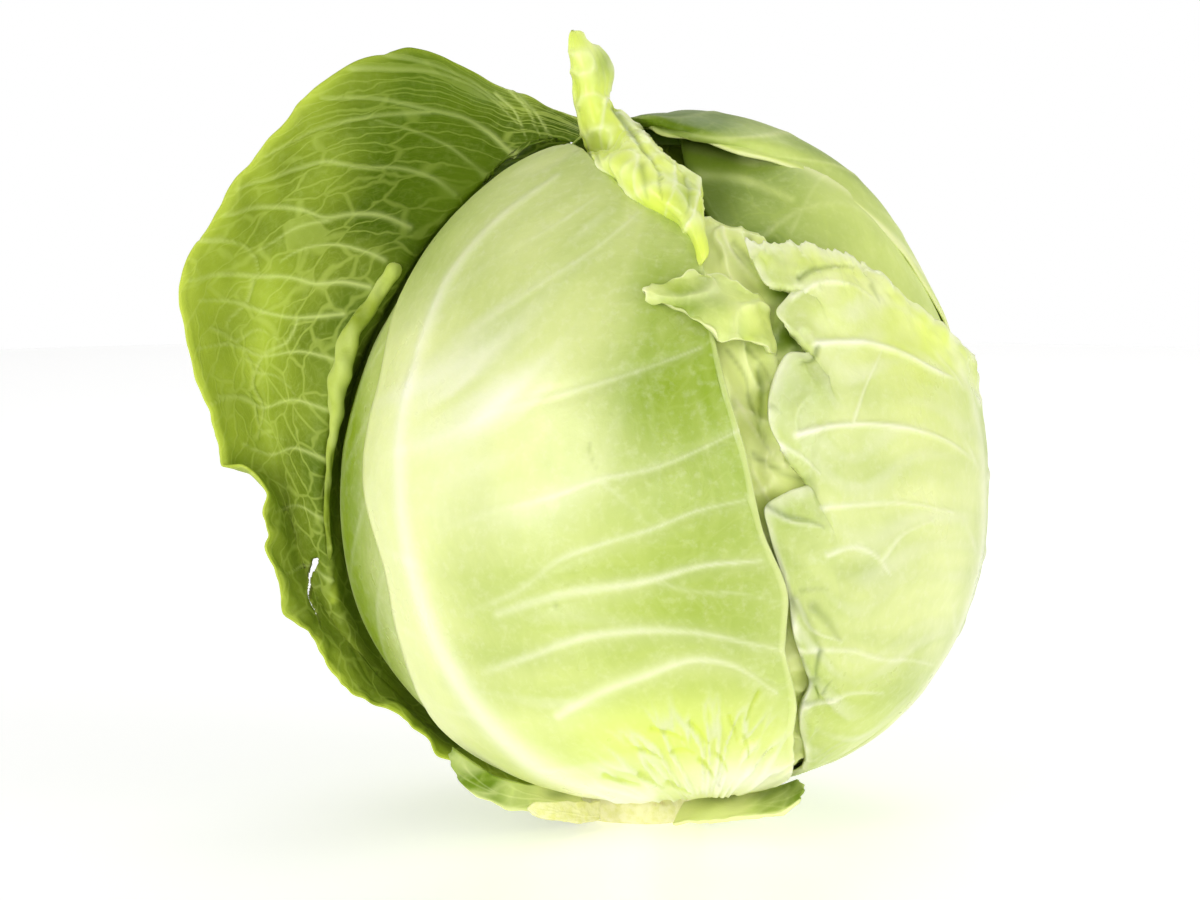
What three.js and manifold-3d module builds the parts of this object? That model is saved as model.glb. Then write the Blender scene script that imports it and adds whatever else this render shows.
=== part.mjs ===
// A cut cabbage head: a dense heart wrapped in its leaves, a flared dark outer leaf on the left,
// and a short cut stump that it stands on. Millimetres, +Z up, the front is towards -Y.
// The origin is the centre of the stump's cut foot.

import * as THREE from "three";
import { mergeVertices } from "three/addons/utils/BufferGeometryUtils.js";
import Module from "manifold-3d";

const wasm = await Module();
wasm.setup();

// The head as a whole
const HEAD_CENTRE = new THREE.Vector3(7.7, 0, 96);
const HEAD_HALF_WIDTH = 84.6;
const HEAD_HALF_DEPTH = 84;
const HEAD_HALF_HEIGHT = 92;
const HEAD_TAPER = 0.1; // the head narrows by this share towards its top
const TOP_ROUNDNESS = 2; // an ellipse above the middle
const FOOT_ROUNDNESS = 2.3; // slightly squarer below it

// Swellings and hollows of the head: longitude, latitude, height, spread in degrees
const HEAD_SWELLINGS = [
  { lon: 84, lat: -46, height: -4, spread: 32 },
  { lon: 20, lat: 62, height: -5, spread: 16 },
  { lon: 8, lat: -84, height: -4, spread: 32 },
];

// The stump
const STUMP_RADIUS = 17;
const STUMP_TOP = 17.8;
const STUMP_SIDES = 36;
const STUMP_FLUTES = 5;
const FLUTE_DEPTH = 0.035; // as a share of the radius
const FOOT_RING = STUMP_RADIUS + 3; // the leaves' feet stand on this circle
const GAP = 0.3;

// The leaves. The lifts in their nets are heights of a blade's inner face over the head's outer form:
// mostly -1.1 for the outer layer, -3.9 for the second and -6.7 for the third.
const BLADE = 1.1;
const RIB_RISE = 1.0;
const RIB_HALF_WIDTH = 0.07; // as a share of the leaf's width
const UNDER_RIBS = { rise: 0.6, petiole: 0.3 }; // lower ribs, where another leaf lies on top

// The heart, a spiral of lapped leaves
const HEART_LAYER = -10.2;
const HEART_LAP = 1.4;
const HEART_LEAVES = 5;
const HEART_COLUMNS = 44;
const HEART_ROWS = 20;
const HEART_FLOOR = STUMP_TOP + GAP;

// Where the front of the object is seen from, for the points that are placed by sight
const VIEW_ELEVATION = 8;
const VIEW_DISTANCE = 1200;
const MM_PER_PIXEL = 0.2667;
const FOOT_PIXEL = { x: 640, y: 811.5 };
const MIDDLE_PIXEL = { x: 600, y: 450 };

const RAD = Math.PI / 180;
const SEARCH_STEPS = 30;
const FAR_OUTSIDE = 160; // farther from the head's middle than any leaf
const CURL_SMALLEST_EDGE = 0.05;
const SAME_PLACE = 1e-4; // vertices this near are one
const VIEW_UP = new THREE.Vector3(0, Math.sin(VIEW_ELEVATION * RAD), Math.cos(VIEW_ELEVATION * RAD));
const VIEW_BACK = new THREE.Vector3(0, -Math.cos(VIEW_ELEVATION * RAD), Math.sin(VIEW_ELEVATION * RAD));
const EYE = onViewPlane(MIDDLE_PIXEL.x, MIDDLE_PIXEL.y).addScaledVector(VIEW_BACK, VIEW_DISTANCE);

// The point that a pixel stands for, on the upright plane through the origin that faces the eye
function onViewPlane(x, y) {
  const across = (x - FOOT_PIXEL.x) * MM_PER_PIXEL;
  const up = (FOOT_PIXEL.y - y) * MM_PER_PIXEL;
  return new THREE.Vector3(across, 0, 0).addScaledVector(VIEW_UP, up);
}

function direction(lon, lat) {
  const level = Math.cos(lat * RAD);
  return new THREE.Vector3(level * Math.sin(lon * RAD), -level * Math.cos(lon * RAD), Math.sin(lat * RAD));
}

// Distance from the head's centre to its outer form, along a direction
function headRadius(dir) {
  const level = Math.hypot(dir.x / HEAD_HALF_WIDTH, dir.y / HEAD_HALF_DEPTH);
  const upright = dir.z / HEAD_HALF_HEIGHT;
  const power = dir.z < 0 ? FOOT_ROUNDNESS : TOP_ROUNDNESS;
  let low = 0;
  let high = 2 * HEAD_HALF_HEIGHT;
  for (let step = 0; step < SEARCH_STEPS; step += 1) {
    const middle = (low + high) / 2;
    const girth = Math.max(1 - HEAD_TAPER * middle * upright, 0.1);
    const fill = Math.pow((middle * level) / girth, power) + Math.pow(Math.abs(middle * upright), power);
    if (fill < 1) low = middle;
    else high = middle;
  }
  let radius = low;
  for (const { lon, lat, height, spread } of HEAD_SWELLINGS) {
    const angle = dir.angleTo(direction(lon, lat)) / RAD;
    radius += height * Math.exp(-((angle / spread) ** 2));
  }
  return radius;
}

// A control point of a leaf is a direction from the head's centre and a lift over the head's form.
// around() gives one by angles, seen() by where it shows from the front, and held() also by its depth.
function around(lon, lat, lift) {
  return { dir: direction(lon, lat), lift };
}

function fromPlace(spot) {
  const reach = spot.clone().sub(HEAD_CENTRE);
  const dir = reach.clone().normalize();
  return { dir, lift: reach.length() - headRadius(dir) };
}

function seen(x, y, lift) {
  const ray = onViewPlane(x, y).sub(EYE).normalize();
  const nearest = HEAD_CENTRE.clone().sub(EYE).dot(ray);
  const height = (along) => fromPlace(EYE.clone().addScaledVector(ray, along)).lift - lift;
  let out = nearest - FAR_OUTSIDE;
  let inside = nearest;
  if (height(inside) < 0) {
    for (let step = 0; step < SEARCH_STEPS; step += 1) {
      const middle = (out + inside) / 2;
      if (height(middle) < 0) inside = middle;
      else out = middle;
    }
  }
  const { dir } = fromPlace(EYE.clone().addScaledVector(ray, inside));
  return { dir, lift };
}

function held(x, y, depth) {
  const ray = onViewPlane(x, y).sub(EYE);
  return fromPlace(EYE.clone().addScaledVector(ray, (depth - EYE.y) / ray.y));
}

// A point of a leaf's foot, beside the stump
function atStump(lon, lift) {
  const turn = lon * RAD;
  const spot = new THREE.Vector3(FOOT_RING * Math.sin(turn), -FOOT_RING * Math.cos(turn), STUMP_TOP);
  for (let step = 0; step < SEARCH_STEPS; step += 1) spot.z += fromPlace(spot).lift - lift;
  return fromPlace(spot);
}

function place({ dir, lift }) {
  return HEAD_CENTRE.clone().addScaledVector(dir, headRadius(dir) + lift);
}

// A smooth curve through rows of values at uneven knots
function smoothThrough(knots, rows, at) {
  const last = knots.length - 1;
  let low = 0;
  while (low < last - 1 && at > knots[low + 1]) low += 1;
  const span = knots[low + 1] - knots[low];
  const share = (at - knots[low]) / span;
  const slope = (index, k) => {
    const rise = (a) => (rows[a + 1][k] - rows[a][k]) / (knots[a + 1] - knots[a]);
    if (index === 0) return rise(0);
    if (index === last) return rise(last - 1);
    const before = knots[index] - knots[index - 1];
    const after = knots[index + 1] - knots[index];
    return (rise(index - 1) * after + rise(index) * before) / (before + after);
  };
  return rows[0].map((_, k) => {
    const a = rows[low][k];
    const b = rows[low + 1][k];
    const slopeA = slope(low, k) * span;
    const slopeB = slope(low + 1, k) * span;
    const s2 = share * share;
    const s3 = s2 * share;
    return (
      a * (2 * s3 - 3 * s2 + 1) + slopeA * (s3 - 2 * s2 + share) + b * (3 * s2 - 2 * s3) + slopeB * (s3 - s2)
    );
  });
}

// A leaf's net is a list of lines from base to tip, the first one on the left as seen from outside.
// Each line is spaced by its own length, and the lines are evenly spaced across the leaf.
function netSurface(net) {
  const lines = net.map((points) => {
    const rows = points.map(({ dir, lift }) => [dir.x, dir.y, dir.z, lift]);
    const places = points.map(place);
    const knots = [0];
    for (let i = 1; i < places.length; i += 1) knots.push(knots[i - 1] + places[i].distanceTo(places[i - 1]));
    const length = knots[knots.length - 1];
    return { rows, knots: knots.map((knot) => knot / length) };
  });
  const across = net.map((_, i) => i / (net.length - 1));
  return (s, t) => {
    const row = lines.map(({ rows, knots }) => smoothThrough(knots, rows, t));
    const [x, y, z, lift] = smoothThrough(across, row, s);
    return { dir: new THREE.Vector3(x, y, z).normalize(), lift };
  };
}

// A closed solid from two like grids of places: the same split of cells on both faces
function solidBetween(inner, outer) {
  const down = inner.length;
  const wide = inner[0].length;
  const positions = [];
  for (const grid of [inner, outer]) {
    for (const row of grid) {
      for (const spot of row) positions.push(spot.x, spot.y, spot.z);
    }
  }
  const at = (face, j, i) => (face * down + j) * wide + i;
  const index = [];
  for (let j = 0; j < down - 1; j += 1) {
    for (let i = 0; i < wide - 1; i += 1) {
      index.push(at(1, j, i), at(1, j, i + 1), at(1, j + 1, i + 1));
      index.push(at(1, j, i), at(1, j + 1, i + 1), at(1, j + 1, i));
      index.push(at(0, j, i), at(0, j + 1, i + 1), at(0, j, i + 1));
      index.push(at(0, j, i), at(0, j + 1, i), at(0, j + 1, i + 1));
    }
  }
  const wall = (a, b, c, d) => index.push(a, b, c, a, c, d);
  for (let i = 0; i < wide - 1; i += 1) {
    wall(at(0, 0, i), at(0, 0, i + 1), at(1, 0, i + 1), at(1, 0, i));
    wall(at(1, down - 1, i), at(1, down - 1, i + 1), at(0, down - 1, i + 1), at(0, down - 1, i));
  }
  for (let j = 0; j < down - 1; j += 1) {
    wall(at(1, j, 0), at(1, j + 1, 0), at(0, j + 1, 0), at(0, j, 0));
    wall(at(0, j, wide - 1), at(0, j + 1, wide - 1), at(1, j + 1, wide - 1), at(1, j, wide - 1));
  }
  const geometry = new THREE.BufferGeometry();
  geometry.setAttribute("position", new THREE.Float32BufferAttribute(positions, 3));
  geometry.setIndex(index);
  return geometry;
}

// 0 at from, 1 at to, smooth between them, whichever of the two is larger
function ramp(from, to, at) {
  const share = THREE.MathUtils.clamp((at - from) / (to - from), 0, 1);
  return share * share * (3 - 2 * share);
}

// The rise of the ribs over the blade: a midrib that thins towards the tip, and slanting side veins
function ribRise({ midrib = 0.5, veins = 7, slant = 0.35, rise = RIB_RISE, petiole = 1.2 }, s, t) {
  const off = Math.abs(s - midrib);
  const ridge = Math.exp(-((off / RIB_HALF_WIDTH) ** 2)) * (1 - 0.8 * t);
  const phase = veins * (t - slant * off);
  const vein = Math.max(Math.cos(2 * Math.PI * phase), 0) ** 4 * ramp(0.04, 0.14, off) * ramp(0.5, 0.3, off);
  const foot = petiole * Math.exp(-t / 0.07);
  return rise * Math.max(ridge, 0.6 * vein) + foot * Math.exp(-((off / 0.4) ** 2));
}

// A leaf blade on its net: waved margins, ribs on the outer face
function blade(net, { across = 12, along = 22, waves = {}, ribs = {}, thickness = BLADE } = {}) {
  const { left = 0, right = 0, tip = 0, count = 9 } = waves;
  const surface = netSurface(net);
  const inner = [];
  for (let j = 0; j <= along; j += 1) {
    const row = [];
    for (let i = 0; i <= across; i += 1) {
      const s = i / across;
      const t = j / along;
      const point = surface(s, t);
      const swing = 0.5 + 0.5 * Math.sin(2 * Math.PI * count * t + 2 * s);
      const tipSwing = 0.5 + 0.5 * Math.sin(2 * Math.PI * 0.6 * count * s);
      point.lift += left * ramp(0.2, 0, s) * swing * ramp(0.05, 0.2, t);
      point.lift += right * ramp(0.8, 1, s) * swing * ramp(0.05, 0.2, t);
      point.lift += tip * ramp(0.85, 1, t) * tipSwing;
      row.push(place(point));
    }
    inner.push(row);
  }
  const outer = inner.map((row, j) =>
    row.map((spot, i) => {
      const alongWay = inner[Math.min(j + 1, along)][i].clone().sub(inner[Math.max(j - 1, 0)][i]);
      const acrossWay = row[Math.min(i + 1, across)].clone().sub(row[Math.max(i - 1, 0)]);
      const outward = acrossWay.cross(alongWay).normalize();
      const height = thickness + ribRise(ribs, i / across, j / along);
      return spot.clone().addScaledVector(outward, height);
    })
  );
  return solidBetween(inner, outer);
}

// A closed round bar through a few places, with a radius at each
function bar(stations, { sides = 8, steps = 16 } = {}) {
  const curve = new THREE.CatmullRomCurve3(stations.map(({ at }) => place(at)));
  const frames = curve.computeFrenetFrames(steps, false);
  const positions = [];
  for (let j = 0; j <= steps; j += 1) {
    const middle = curve.getPointAt(j / steps);
    const station = (j / steps) * (stations.length - 1);
    const low = Math.min(Math.floor(station), stations.length - 2);
    const radius = THREE.MathUtils.lerp(stations[low].radius, stations[low + 1].radius, station - low);
    for (let i = 0; i < sides; i += 1) {
      const turn = (i / sides) * 2 * Math.PI;
      const spot = middle
        .clone()
        .addScaledVector(frames.normals[j], radius * Math.cos(turn))
        .addScaledVector(frames.binormals[j], radius * Math.sin(turn));
      positions.push(spot.x, spot.y, spot.z);
    }
  }
  const ends = positions.length / 3;
  positions.push(...curve.getPointAt(0).toArray(), ...curve.getPointAt(1).toArray());
  const at = (j, i) => j * sides + (i % sides);
  const index = [];
  for (let i = 0; i < sides; i += 1) {
    index.push(ends, at(0, i + 1), at(0, i));
    index.push(ends + 1, at(steps, i), at(steps, i + 1));
    for (let j = 0; j < steps; j += 1) {
      index.push(at(j, i), at(j, i + 1), at(j + 1, i + 1), at(j, i), at(j + 1, i + 1), at(j + 1, i));
    }
  }
  const geometry = new THREE.BufferGeometry();
  geometry.setAttribute("position", new THREE.Float32BufferAttribute(positions, 3));
  geometry.setIndex(index);
  return geometry;
}

// Joins and cuts
function asSolid(geometry) {
  const merged = mergeVertices(geometry, SAME_PLACE);
  return new wasm.Manifold(
    new wasm.Mesh({
      numProp: 3,
      vertProperties: new Float32Array(merged.attributes.position.array),
      triVerts: new Uint32Array(merged.index.array),
    })
  );
}

function asGeometry(solid) {
  const mesh = solid.getMesh();
  const geometry = new THREE.BufferGeometry();
  geometry.setAttribute("position", new THREE.Float32BufferAttribute(mesh.vertProperties, 3));
  geometry.setIndex(Array.from(mesh.triVerts));
  return geometry;
}

// Where two blades meet at a grazing angle, edges under smallestEdge are closed up
function joined(first, second, smallestEdge = 0) {
  const whole = asSolid(first).add(asSolid(second));
  return asGeometry(smallestEdge > 0 ? whole.asOriginal().simplify(smallestEdge) : whole);
}

const group = new THREE.Group();

function addPiece(name, geometry, { color, roughness }) {
  const material = new THREE.MeshStandardMaterial({ color, roughness, metalness: 0 });
  const piece = new THREE.Mesh(geometry, material);
  piece.name = name;
  group.add(piece);
}

const PALE = { color: 0xe4efb4, roughness: 0.42 };
const MEDIUM = { color: 0xbdd26e, roughness: 0.42 };
const DARK = { color: 0x7c9a2c, roughness: 0.45 };
const INNER = { color: 0x9db24a, roughness: 0.5 };
const CUT = { color: 0xf0f0b8, roughness: 0.6 };

// The heart: leaves lapped in a spiral, flat where it meets the stump
function heart() {
  const columns = HEART_COLUMNS;
  const rows = HEART_ROWS;
  const positions = [];
  const spot = (i, j) => {
    const lon = (i / columns) * 360;
    const lat = -90 + (j / rows) * 180;
    const dir = direction(lon, lat);
    const turn = (HEART_LEAVES * (lon + 0.5 * lat)) / 360;
    const lap = turn - Math.floor(turn);
    const shown = Math.cos(lat * RAD);
    const lift = HEART_LAYER + HEART_LAP * shown * lap * ramp(1, 0.86, lap);
    const at = place({ dir, lift });
    at.z = Math.max(at.z, HEART_FLOOR);
    return at;
  };
  for (let j = 1; j < rows; j += 1) {
    for (let i = 0; i < columns; i += 1) positions.push(...spot(i, j).toArray());
  }
  const foot = positions.length / 3;
  positions.push(...spot(0, 0).toArray(), ...spot(0, rows).toArray());
  const index = [];
  const at = (i, j) => (j - 1) * columns + (i % columns);
  for (let i = 0; i < columns; i += 1) {
    index.push(foot, at(i + 1, 1), at(i, 1));
    index.push(foot + 1, at(i, rows - 1), at(i + 1, rows - 1));
    for (let j = 1; j < rows - 1; j += 1) {
      index.push(at(i, j), at(i + 1, j), at(i + 1, j + 1), at(i, j), at(i + 1, j + 1), at(i, j + 1));
    }
  }
  const geometry = new THREE.BufferGeometry();
  geometry.setAttribute("position", new THREE.Float32BufferAttribute(positions, 3));
  geometry.setIndex(index);
  return geometry;
}

// The stump: a knife-cut foot, slightly fluted where leaf bases were trimmed off
function stump() {
  const heights = [0, 0, 1.2, 5, 11, STUMP_TOP, STUMP_TOP];
  const insets = [STUMP_RADIUS, 1.4, 0.4, 0, 1, 2, STUMP_RADIUS];
  const profile = insets.map((inset, i) => new THREE.Vector2(STUMP_RADIUS - inset, heights[i]));
  const geometry = new THREE.LatheGeometry(profile, STUMP_SIDES);
  geometry.rotateX(Math.PI / 2);
  geometry.deleteAttribute("normal");
  geometry.deleteAttribute("uv");
  const shape = mergeVertices(geometry, SAME_PLACE);
  const spots = shape.attributes.position;
  for (let i = 0; i < spots.count; i += 1) {
    const turn = Math.atan2(spots.getY(i), spots.getX(i));
    const flute = 1 + FLUTE_DEPTH * Math.sin(STUMP_FLUTES * turn + 1);
    spots.setX(i, spots.getX(i) * flute);
    spots.setY(i, spots.getY(i) * flute);
  }
  return shape;
}

// Nets of the leaves

const FRONT = [
  [
    atStump(-34, -1.1),
    seen(560, 789, -0.9),
    seen(500, 773, -1.1),
    seen(440, 725, -1.1),
    seen(408, 668, -1.1),
    seen(386, 575, -1.1),
    seen(364, 470, -1.1),
    seen(380, 385, -1.1),
    seen(405, 292, -1.1),
    seen(460, 203, -1.1),
    seen(520, 162, -1.1),
    seen(562, 146, -1.1),
  ],
  [
    atStump(-17, -1.1),
    seen(610, 791, -0.9),
    seen(560, 765, -0.8),
    seen(500, 700, -0.5),
    seen(462, 600, -0.3),
    seen(448, 500, -0.3),
    seen(458, 400, -0.5),
    seen(488, 300, -0.9),
    seen(530, 220, -1.1),
    seen(560, 180, -1.1),
    seen(580, 150, -1.1),
  ],
  [
    atStump(0, -1.1),
    seen(650, 792, -0.9),
    seen(640, 745, -1.1),
    seen(615, 650, -1.1),
    seen(605, 530, -1.1),
    seen(605, 400, -1.1),
    seen(610, 300, -1.1),
    seen(616, 230, -1.1),
    seen(612, 195, -1.1),
    seen(604, 172, -1.1),
  ],
  [
    atStump(17, -1.1),
    seen(710, 792, -0.9),
    seen(722, 745, -1.1),
    seen(715, 650, -1.1),
    seen(698, 530, -1.1),
    seen(678, 420, -1.1),
    seen(664, 330, -1.1),
    seen(655, 270, -1.1),
    seen(648, 230, -1.1),
    seen(642, 205, -1.1),
  ],
  [
    atStump(34, -1.1),
    seen(788, 769, -0.9),
    seen(793, 736, -0.9),
    seen(794, 700, -0.9),
    seen(784, 640, -0.6),
    seen(786, 592, -0.4),
    seen(762, 530, -0.2),
    seen(744, 450, 0.0),
    seen(722, 375, -0.2),
    seen(713, 335, -0.8),
    seen(706, 290, -1.0),
    seen(700, 255, -1.1),
    seen(692, 232, -1.1),
  ],
];

// The rolled and twisted top of the front leaf's right margin, up to its pointed tip
const CURL = [
  [
    seen(700, 268, -0.7),
    seen(688, 230, -0.7),
    seen(660, 212, -0.7),
    seen(638, 200, -0.7),
    seen(620, 180, -0.7),
    seen(600, 166, -0.7),
    held(587, 146, -4),
    held(581, 122, -5),
    held(577, 90, -6),
    held(573, 55, -8),
    held(571, 30, -8),
  ],
  [
    seen(704, 262, 1.5),
    seen(694, 232, 3),
    seen(672, 205, 4.5),
    seen(648, 185, 5),
    seen(628, 165, 5.5),
    held(608, 142, -14),
    held(594, 124, -13),
    held(587, 98, -13),
    held(582, 70, -13),
    held(577, 47, -11),
    held(572, 30, -8),
  ],
  [
    seen(706, 258, 2),
    seen(698, 225, 3.5),
    seen(690, 190, 4),
    seen(665, 168, 4),
    seen(643, 145, 4.5),
    held(618, 122, -12),
    held(602, 104, -10),
    held(600, 82, -10),
    held(594, 62, -11),
    held(583, 46, -10),
    held(573, 30, -8),
  ],
  [
    seen(706, 254, 0.5),
    seen(698, 213, 0.5),
    seen(697, 182, 0.5),
    seen(672, 164, 1.0),
    held(650, 148, -9),
    held(624, 118, -7),
    held(604, 96, -5),
    held(612, 74, -3),
    held(602, 52, -5),
    held(585, 44, -7),
    held(574, 31, -8),
  ],
];

const VALLEY = [
  [
    atStump(24, -3.9),
    seen(735, 775, -3.9),
    seen(745, 690, -3.9),
    seen(735, 600, -4.1),
    seen(705, 500, -4.3),
    seen(690, 420, -4.3),
    seen(672, 340, -3.9),
    seen(664, 280, -3.9),
    seen(664, 240, -3.9),
    seen(690, 212, -3.9),
  ],
  [
    atStump(31, -3.9),
    seen(785, 775, -3.9),
    seen(802, 690, -4.3),
    seen(792, 600, -5.0),
    seen(766, 500, -5.2),
    seen(752, 420, -5.0),
    seen(738, 345, -4.0),
    seen(718, 285, -3.4),
    seen(705, 250, -3.4),
    seen(712, 222, -3.6),
  ],
  [
    atStump(38, -3.9),
    seen(838, 763, -4.6),
    seen(858, 690, -3.9),
    seen(850, 600, -4.1),
    seen(830, 500, -4.3),
    seen(816, 420, -4.3),
    seen(806, 350, -4.3),
    seen(792, 300, -4.2),
    seen(778, 262, -4.0),
    seen(758, 234, -4.0),
  ],
];

// A torn flap of the valley leaf, folded to the left over the front leaf's margin
const FLAP = [
  [seen(762, 352, -3.2), seen(752, 346, 0.5), seen(716, 334, 1.6), seen(680, 314, 1.4), seen(648, 297, 1.2)],
  [seen(757, 325, -3.2), seen(747, 318, 1.2), seen(716, 306, 2.8), seen(680, 298, 2.0), seen(646, 292, 1.2)],
  [seen(748, 296, -3.2), seen(738, 288, 0.6), seen(708, 275, 1.6), seen(680, 282, 1.4), seen(648, 288, 1.2)],
];

const RIGHT = [
  [
    atStump(46, -1.1),
    seen(801, 765, -1.1),
    seen(804, 744, -1.1),
    seen(806, 700, -1.1),
    seen(795, 640, -0.8),
    seen(790, 598, -0.8),
    seen(778, 560, -0.7),
    seen(768, 512, -0.5),
    seen(792, 468, -0.3),
    seen(771, 412, 0.2),
    seen(780, 362, 0.2),
    seen(806, 335, 0.4),
    seen(784, 304, 1.0),
    seen(748, 252, 0.2),
  ],
  [
    atStump(56, -1.1),
    seen(832, 768, -1.1),
    seen(852, 690, -1.1),
    seen(852, 600, -1.1),
    seen(850, 500, -1.1),
    seen(842, 420, -1.1),
    seen(838, 350, -0.8),
    seen(828, 300, -0.2),
    seen(806, 244, 0.2),
  ],
  [
    atStump(66, -1.1),
    seen(860, 755, -1.1),
    seen(908, 680, -1.1),
    seen(918, 600, -1.1),
    seen(918, 500, -1.1),
    seen(908, 420, -1.1),
    seen(892, 350, -1.1),
    seen(876, 305, -0.6),
    seen(856, 258, 0),
  ],
  [
    atStump(76, -1.1),
    around(66, -62, -1.1),
    around(66, -45, -1.1),
    around(69, -25, -1.1),
    around(71, -5, -1.1),
    around(71, 8, -1.1),
    around(69, 19, -1.1),
    around(66, 28, -0.2),
  ],
  [
    atStump(86, -1.1),
    around(92, -62, -1.1),
    around(94, -45, -1.1),
    around(97, -20, -1.1),
    around(98, 0, -1.1),
    around(98, 14, -0.6),
  ],
  [
    atStump(98, -1.1),
    around(118, -62, -1.1),
    around(127, -45, -1.1),
    around(131, -20, -0.9),
    around(131, -4, -0.7),
    around(128, 9, -0.6),
  ],
];

const RIGHT_UPPER = [
  [
    seen(768, 420, -6.7),
    seen(752, 350, -6.9),
    seen(738, 290, -6.9),
    seen(712, 228, -7.2),
    seen(690, 182, -7.2),
    seen(676, 132, -7.2),
  ],
  [
    seen(840, 420, -6.7),
    seen(838, 350, -6.7),
    seen(828, 290, -5.4),
    seen(806, 225, -4.8),
    seen(776, 180, -5.6),
    seen(745, 140, -6.6),
  ],
  [
    seen(915, 420, -6.7),
    seen(905, 350, -5.8),
    seen(888, 285, -4.6),
    seen(852, 222, -4.6),
    seen(815, 172, -6.2),
    around(60, 66, -6.7),
  ],
  [
    around(86, 4, -6.7),
    around(88, 22, -6.4),
    around(88, 38, -6.4),
    around(88, 52, -6.7),
    around(86, 64, -6.7),
  ],
];

const TOP_BACK = [
  [
    atStump(118, -3.9),
    around(100, -60, -3.9),
    around(96, -35, -3.9),
    around(91, -5, -3.9),
    seen(962, 335, -3.4),
    seen(925, 290, -2.8),
    seen(880, 232, -2.6),
    seen(832, 196, -2.6),
    seen(785, 168, -2.6),
    seen(740, 156, -2.6),
    seen(700, 142, -2.6),
    seen(666, 137, -2.8),
    held(640, 128, 0),
    held(618, 121, 4),
  ],
  [
    atStump(134, -3.9),
    around(126, -60, -3.9),
    around(124, -35, -3.9),
    around(119, 0, -3.9),
    around(112, 30, -2.4),
    around(98, 52, 0.2),
    around(78, 66, 0.2),
    around(45, 75, 0.2),
    around(5, 80, -0.6),
    around(-50, 84, -1.4),
  ],
  [
    atStump(150, -3.9),
    around(154, -60, -3.9),
    around(158, -35, -3.9),
    around(160, 0, -3.9),
    around(162, 35, -3.9),
    around(166, 62, -3.4),
    around(175, 80, -2.6),
    around(-30, 86, -2.6),
  ],
  [
    atStump(168, -3.9),
    around(184, -60, -3.9),
    around(194, -35, -3.9),
    around(202, 0, -3.9),
    around(208, 30, -3.9),
    around(218, 52, -3.9),
    around(232, 66, -3.6),
    around(260, 76, -3.6),
  ],
];

const LEFT_INNER = [
  [
    atStump(-112, -3.9),
    around(-112, -60, -3.9),
    around(-112, -40, -3.9),
    around(-112, -10, -3.9),
    around(-114, 20, -3.9),
    around(-118, 38, -3.9),
    around(-124, 50, -3.9),
  ],
  [
    atStump(-102, -3.9),
    around(-98, -60, -3.9),
    around(-97, -40, -3.0),
    around(-97, -10, 0.2),
    around(-98, 15, -0.6),
    around(-103, 36, -2.8),
    around(-110, 52, -3.9),
  ],
  [
    atStump(-90, -3.9),
    around(-84, -60, -3.8),
    around(-85, -40, -2.8),
    around(-86, -10, 0.3),
    around(-86, 15, -0.8),
    around(-87, 36, -2.8),
    around(-90, 54, -3.9),
  ],
  [
    atStump(-78, -3.9),
    around(-70, -60, -3.9),
    around(-71, -40, -3.9),
    around(-74, -10, -3.6),
    around(-74, 15, -3.8),
    around(-72, 38, -3.9),
    around(-70, 57, -3.9),
  ],
  [
    atStump(-66, -3.9),
    around(-54, -60, -3.9),
    around(-56, -40, -3.9),
    around(-58, -10, -3.9),
    around(-58, 20, -3.9),
    around(-57, 42, -3.9),
    around(-50, 60, -3.9),
  ],
];

const BACK = [
  [around(148, -62, -6.7), around(148, -20, -6.7), around(148, 20, -6.7), around(150, 58, -6.7)],
  [around(-178, -62, -6.7), around(-178, -20, -6.7), around(-178, 20, -6.7), around(-176, 66, -6.7)],
  [around(-145, -62, -6.7), around(-145, -20, -6.7), around(-145, 20, -6.7), around(-146, 66, -6.7)],
  [around(-108, -62, -6.7), around(-108, -20, -6.7), around(-108, 20, -6.7), around(-112, 58, -6.7)],
];

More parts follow.
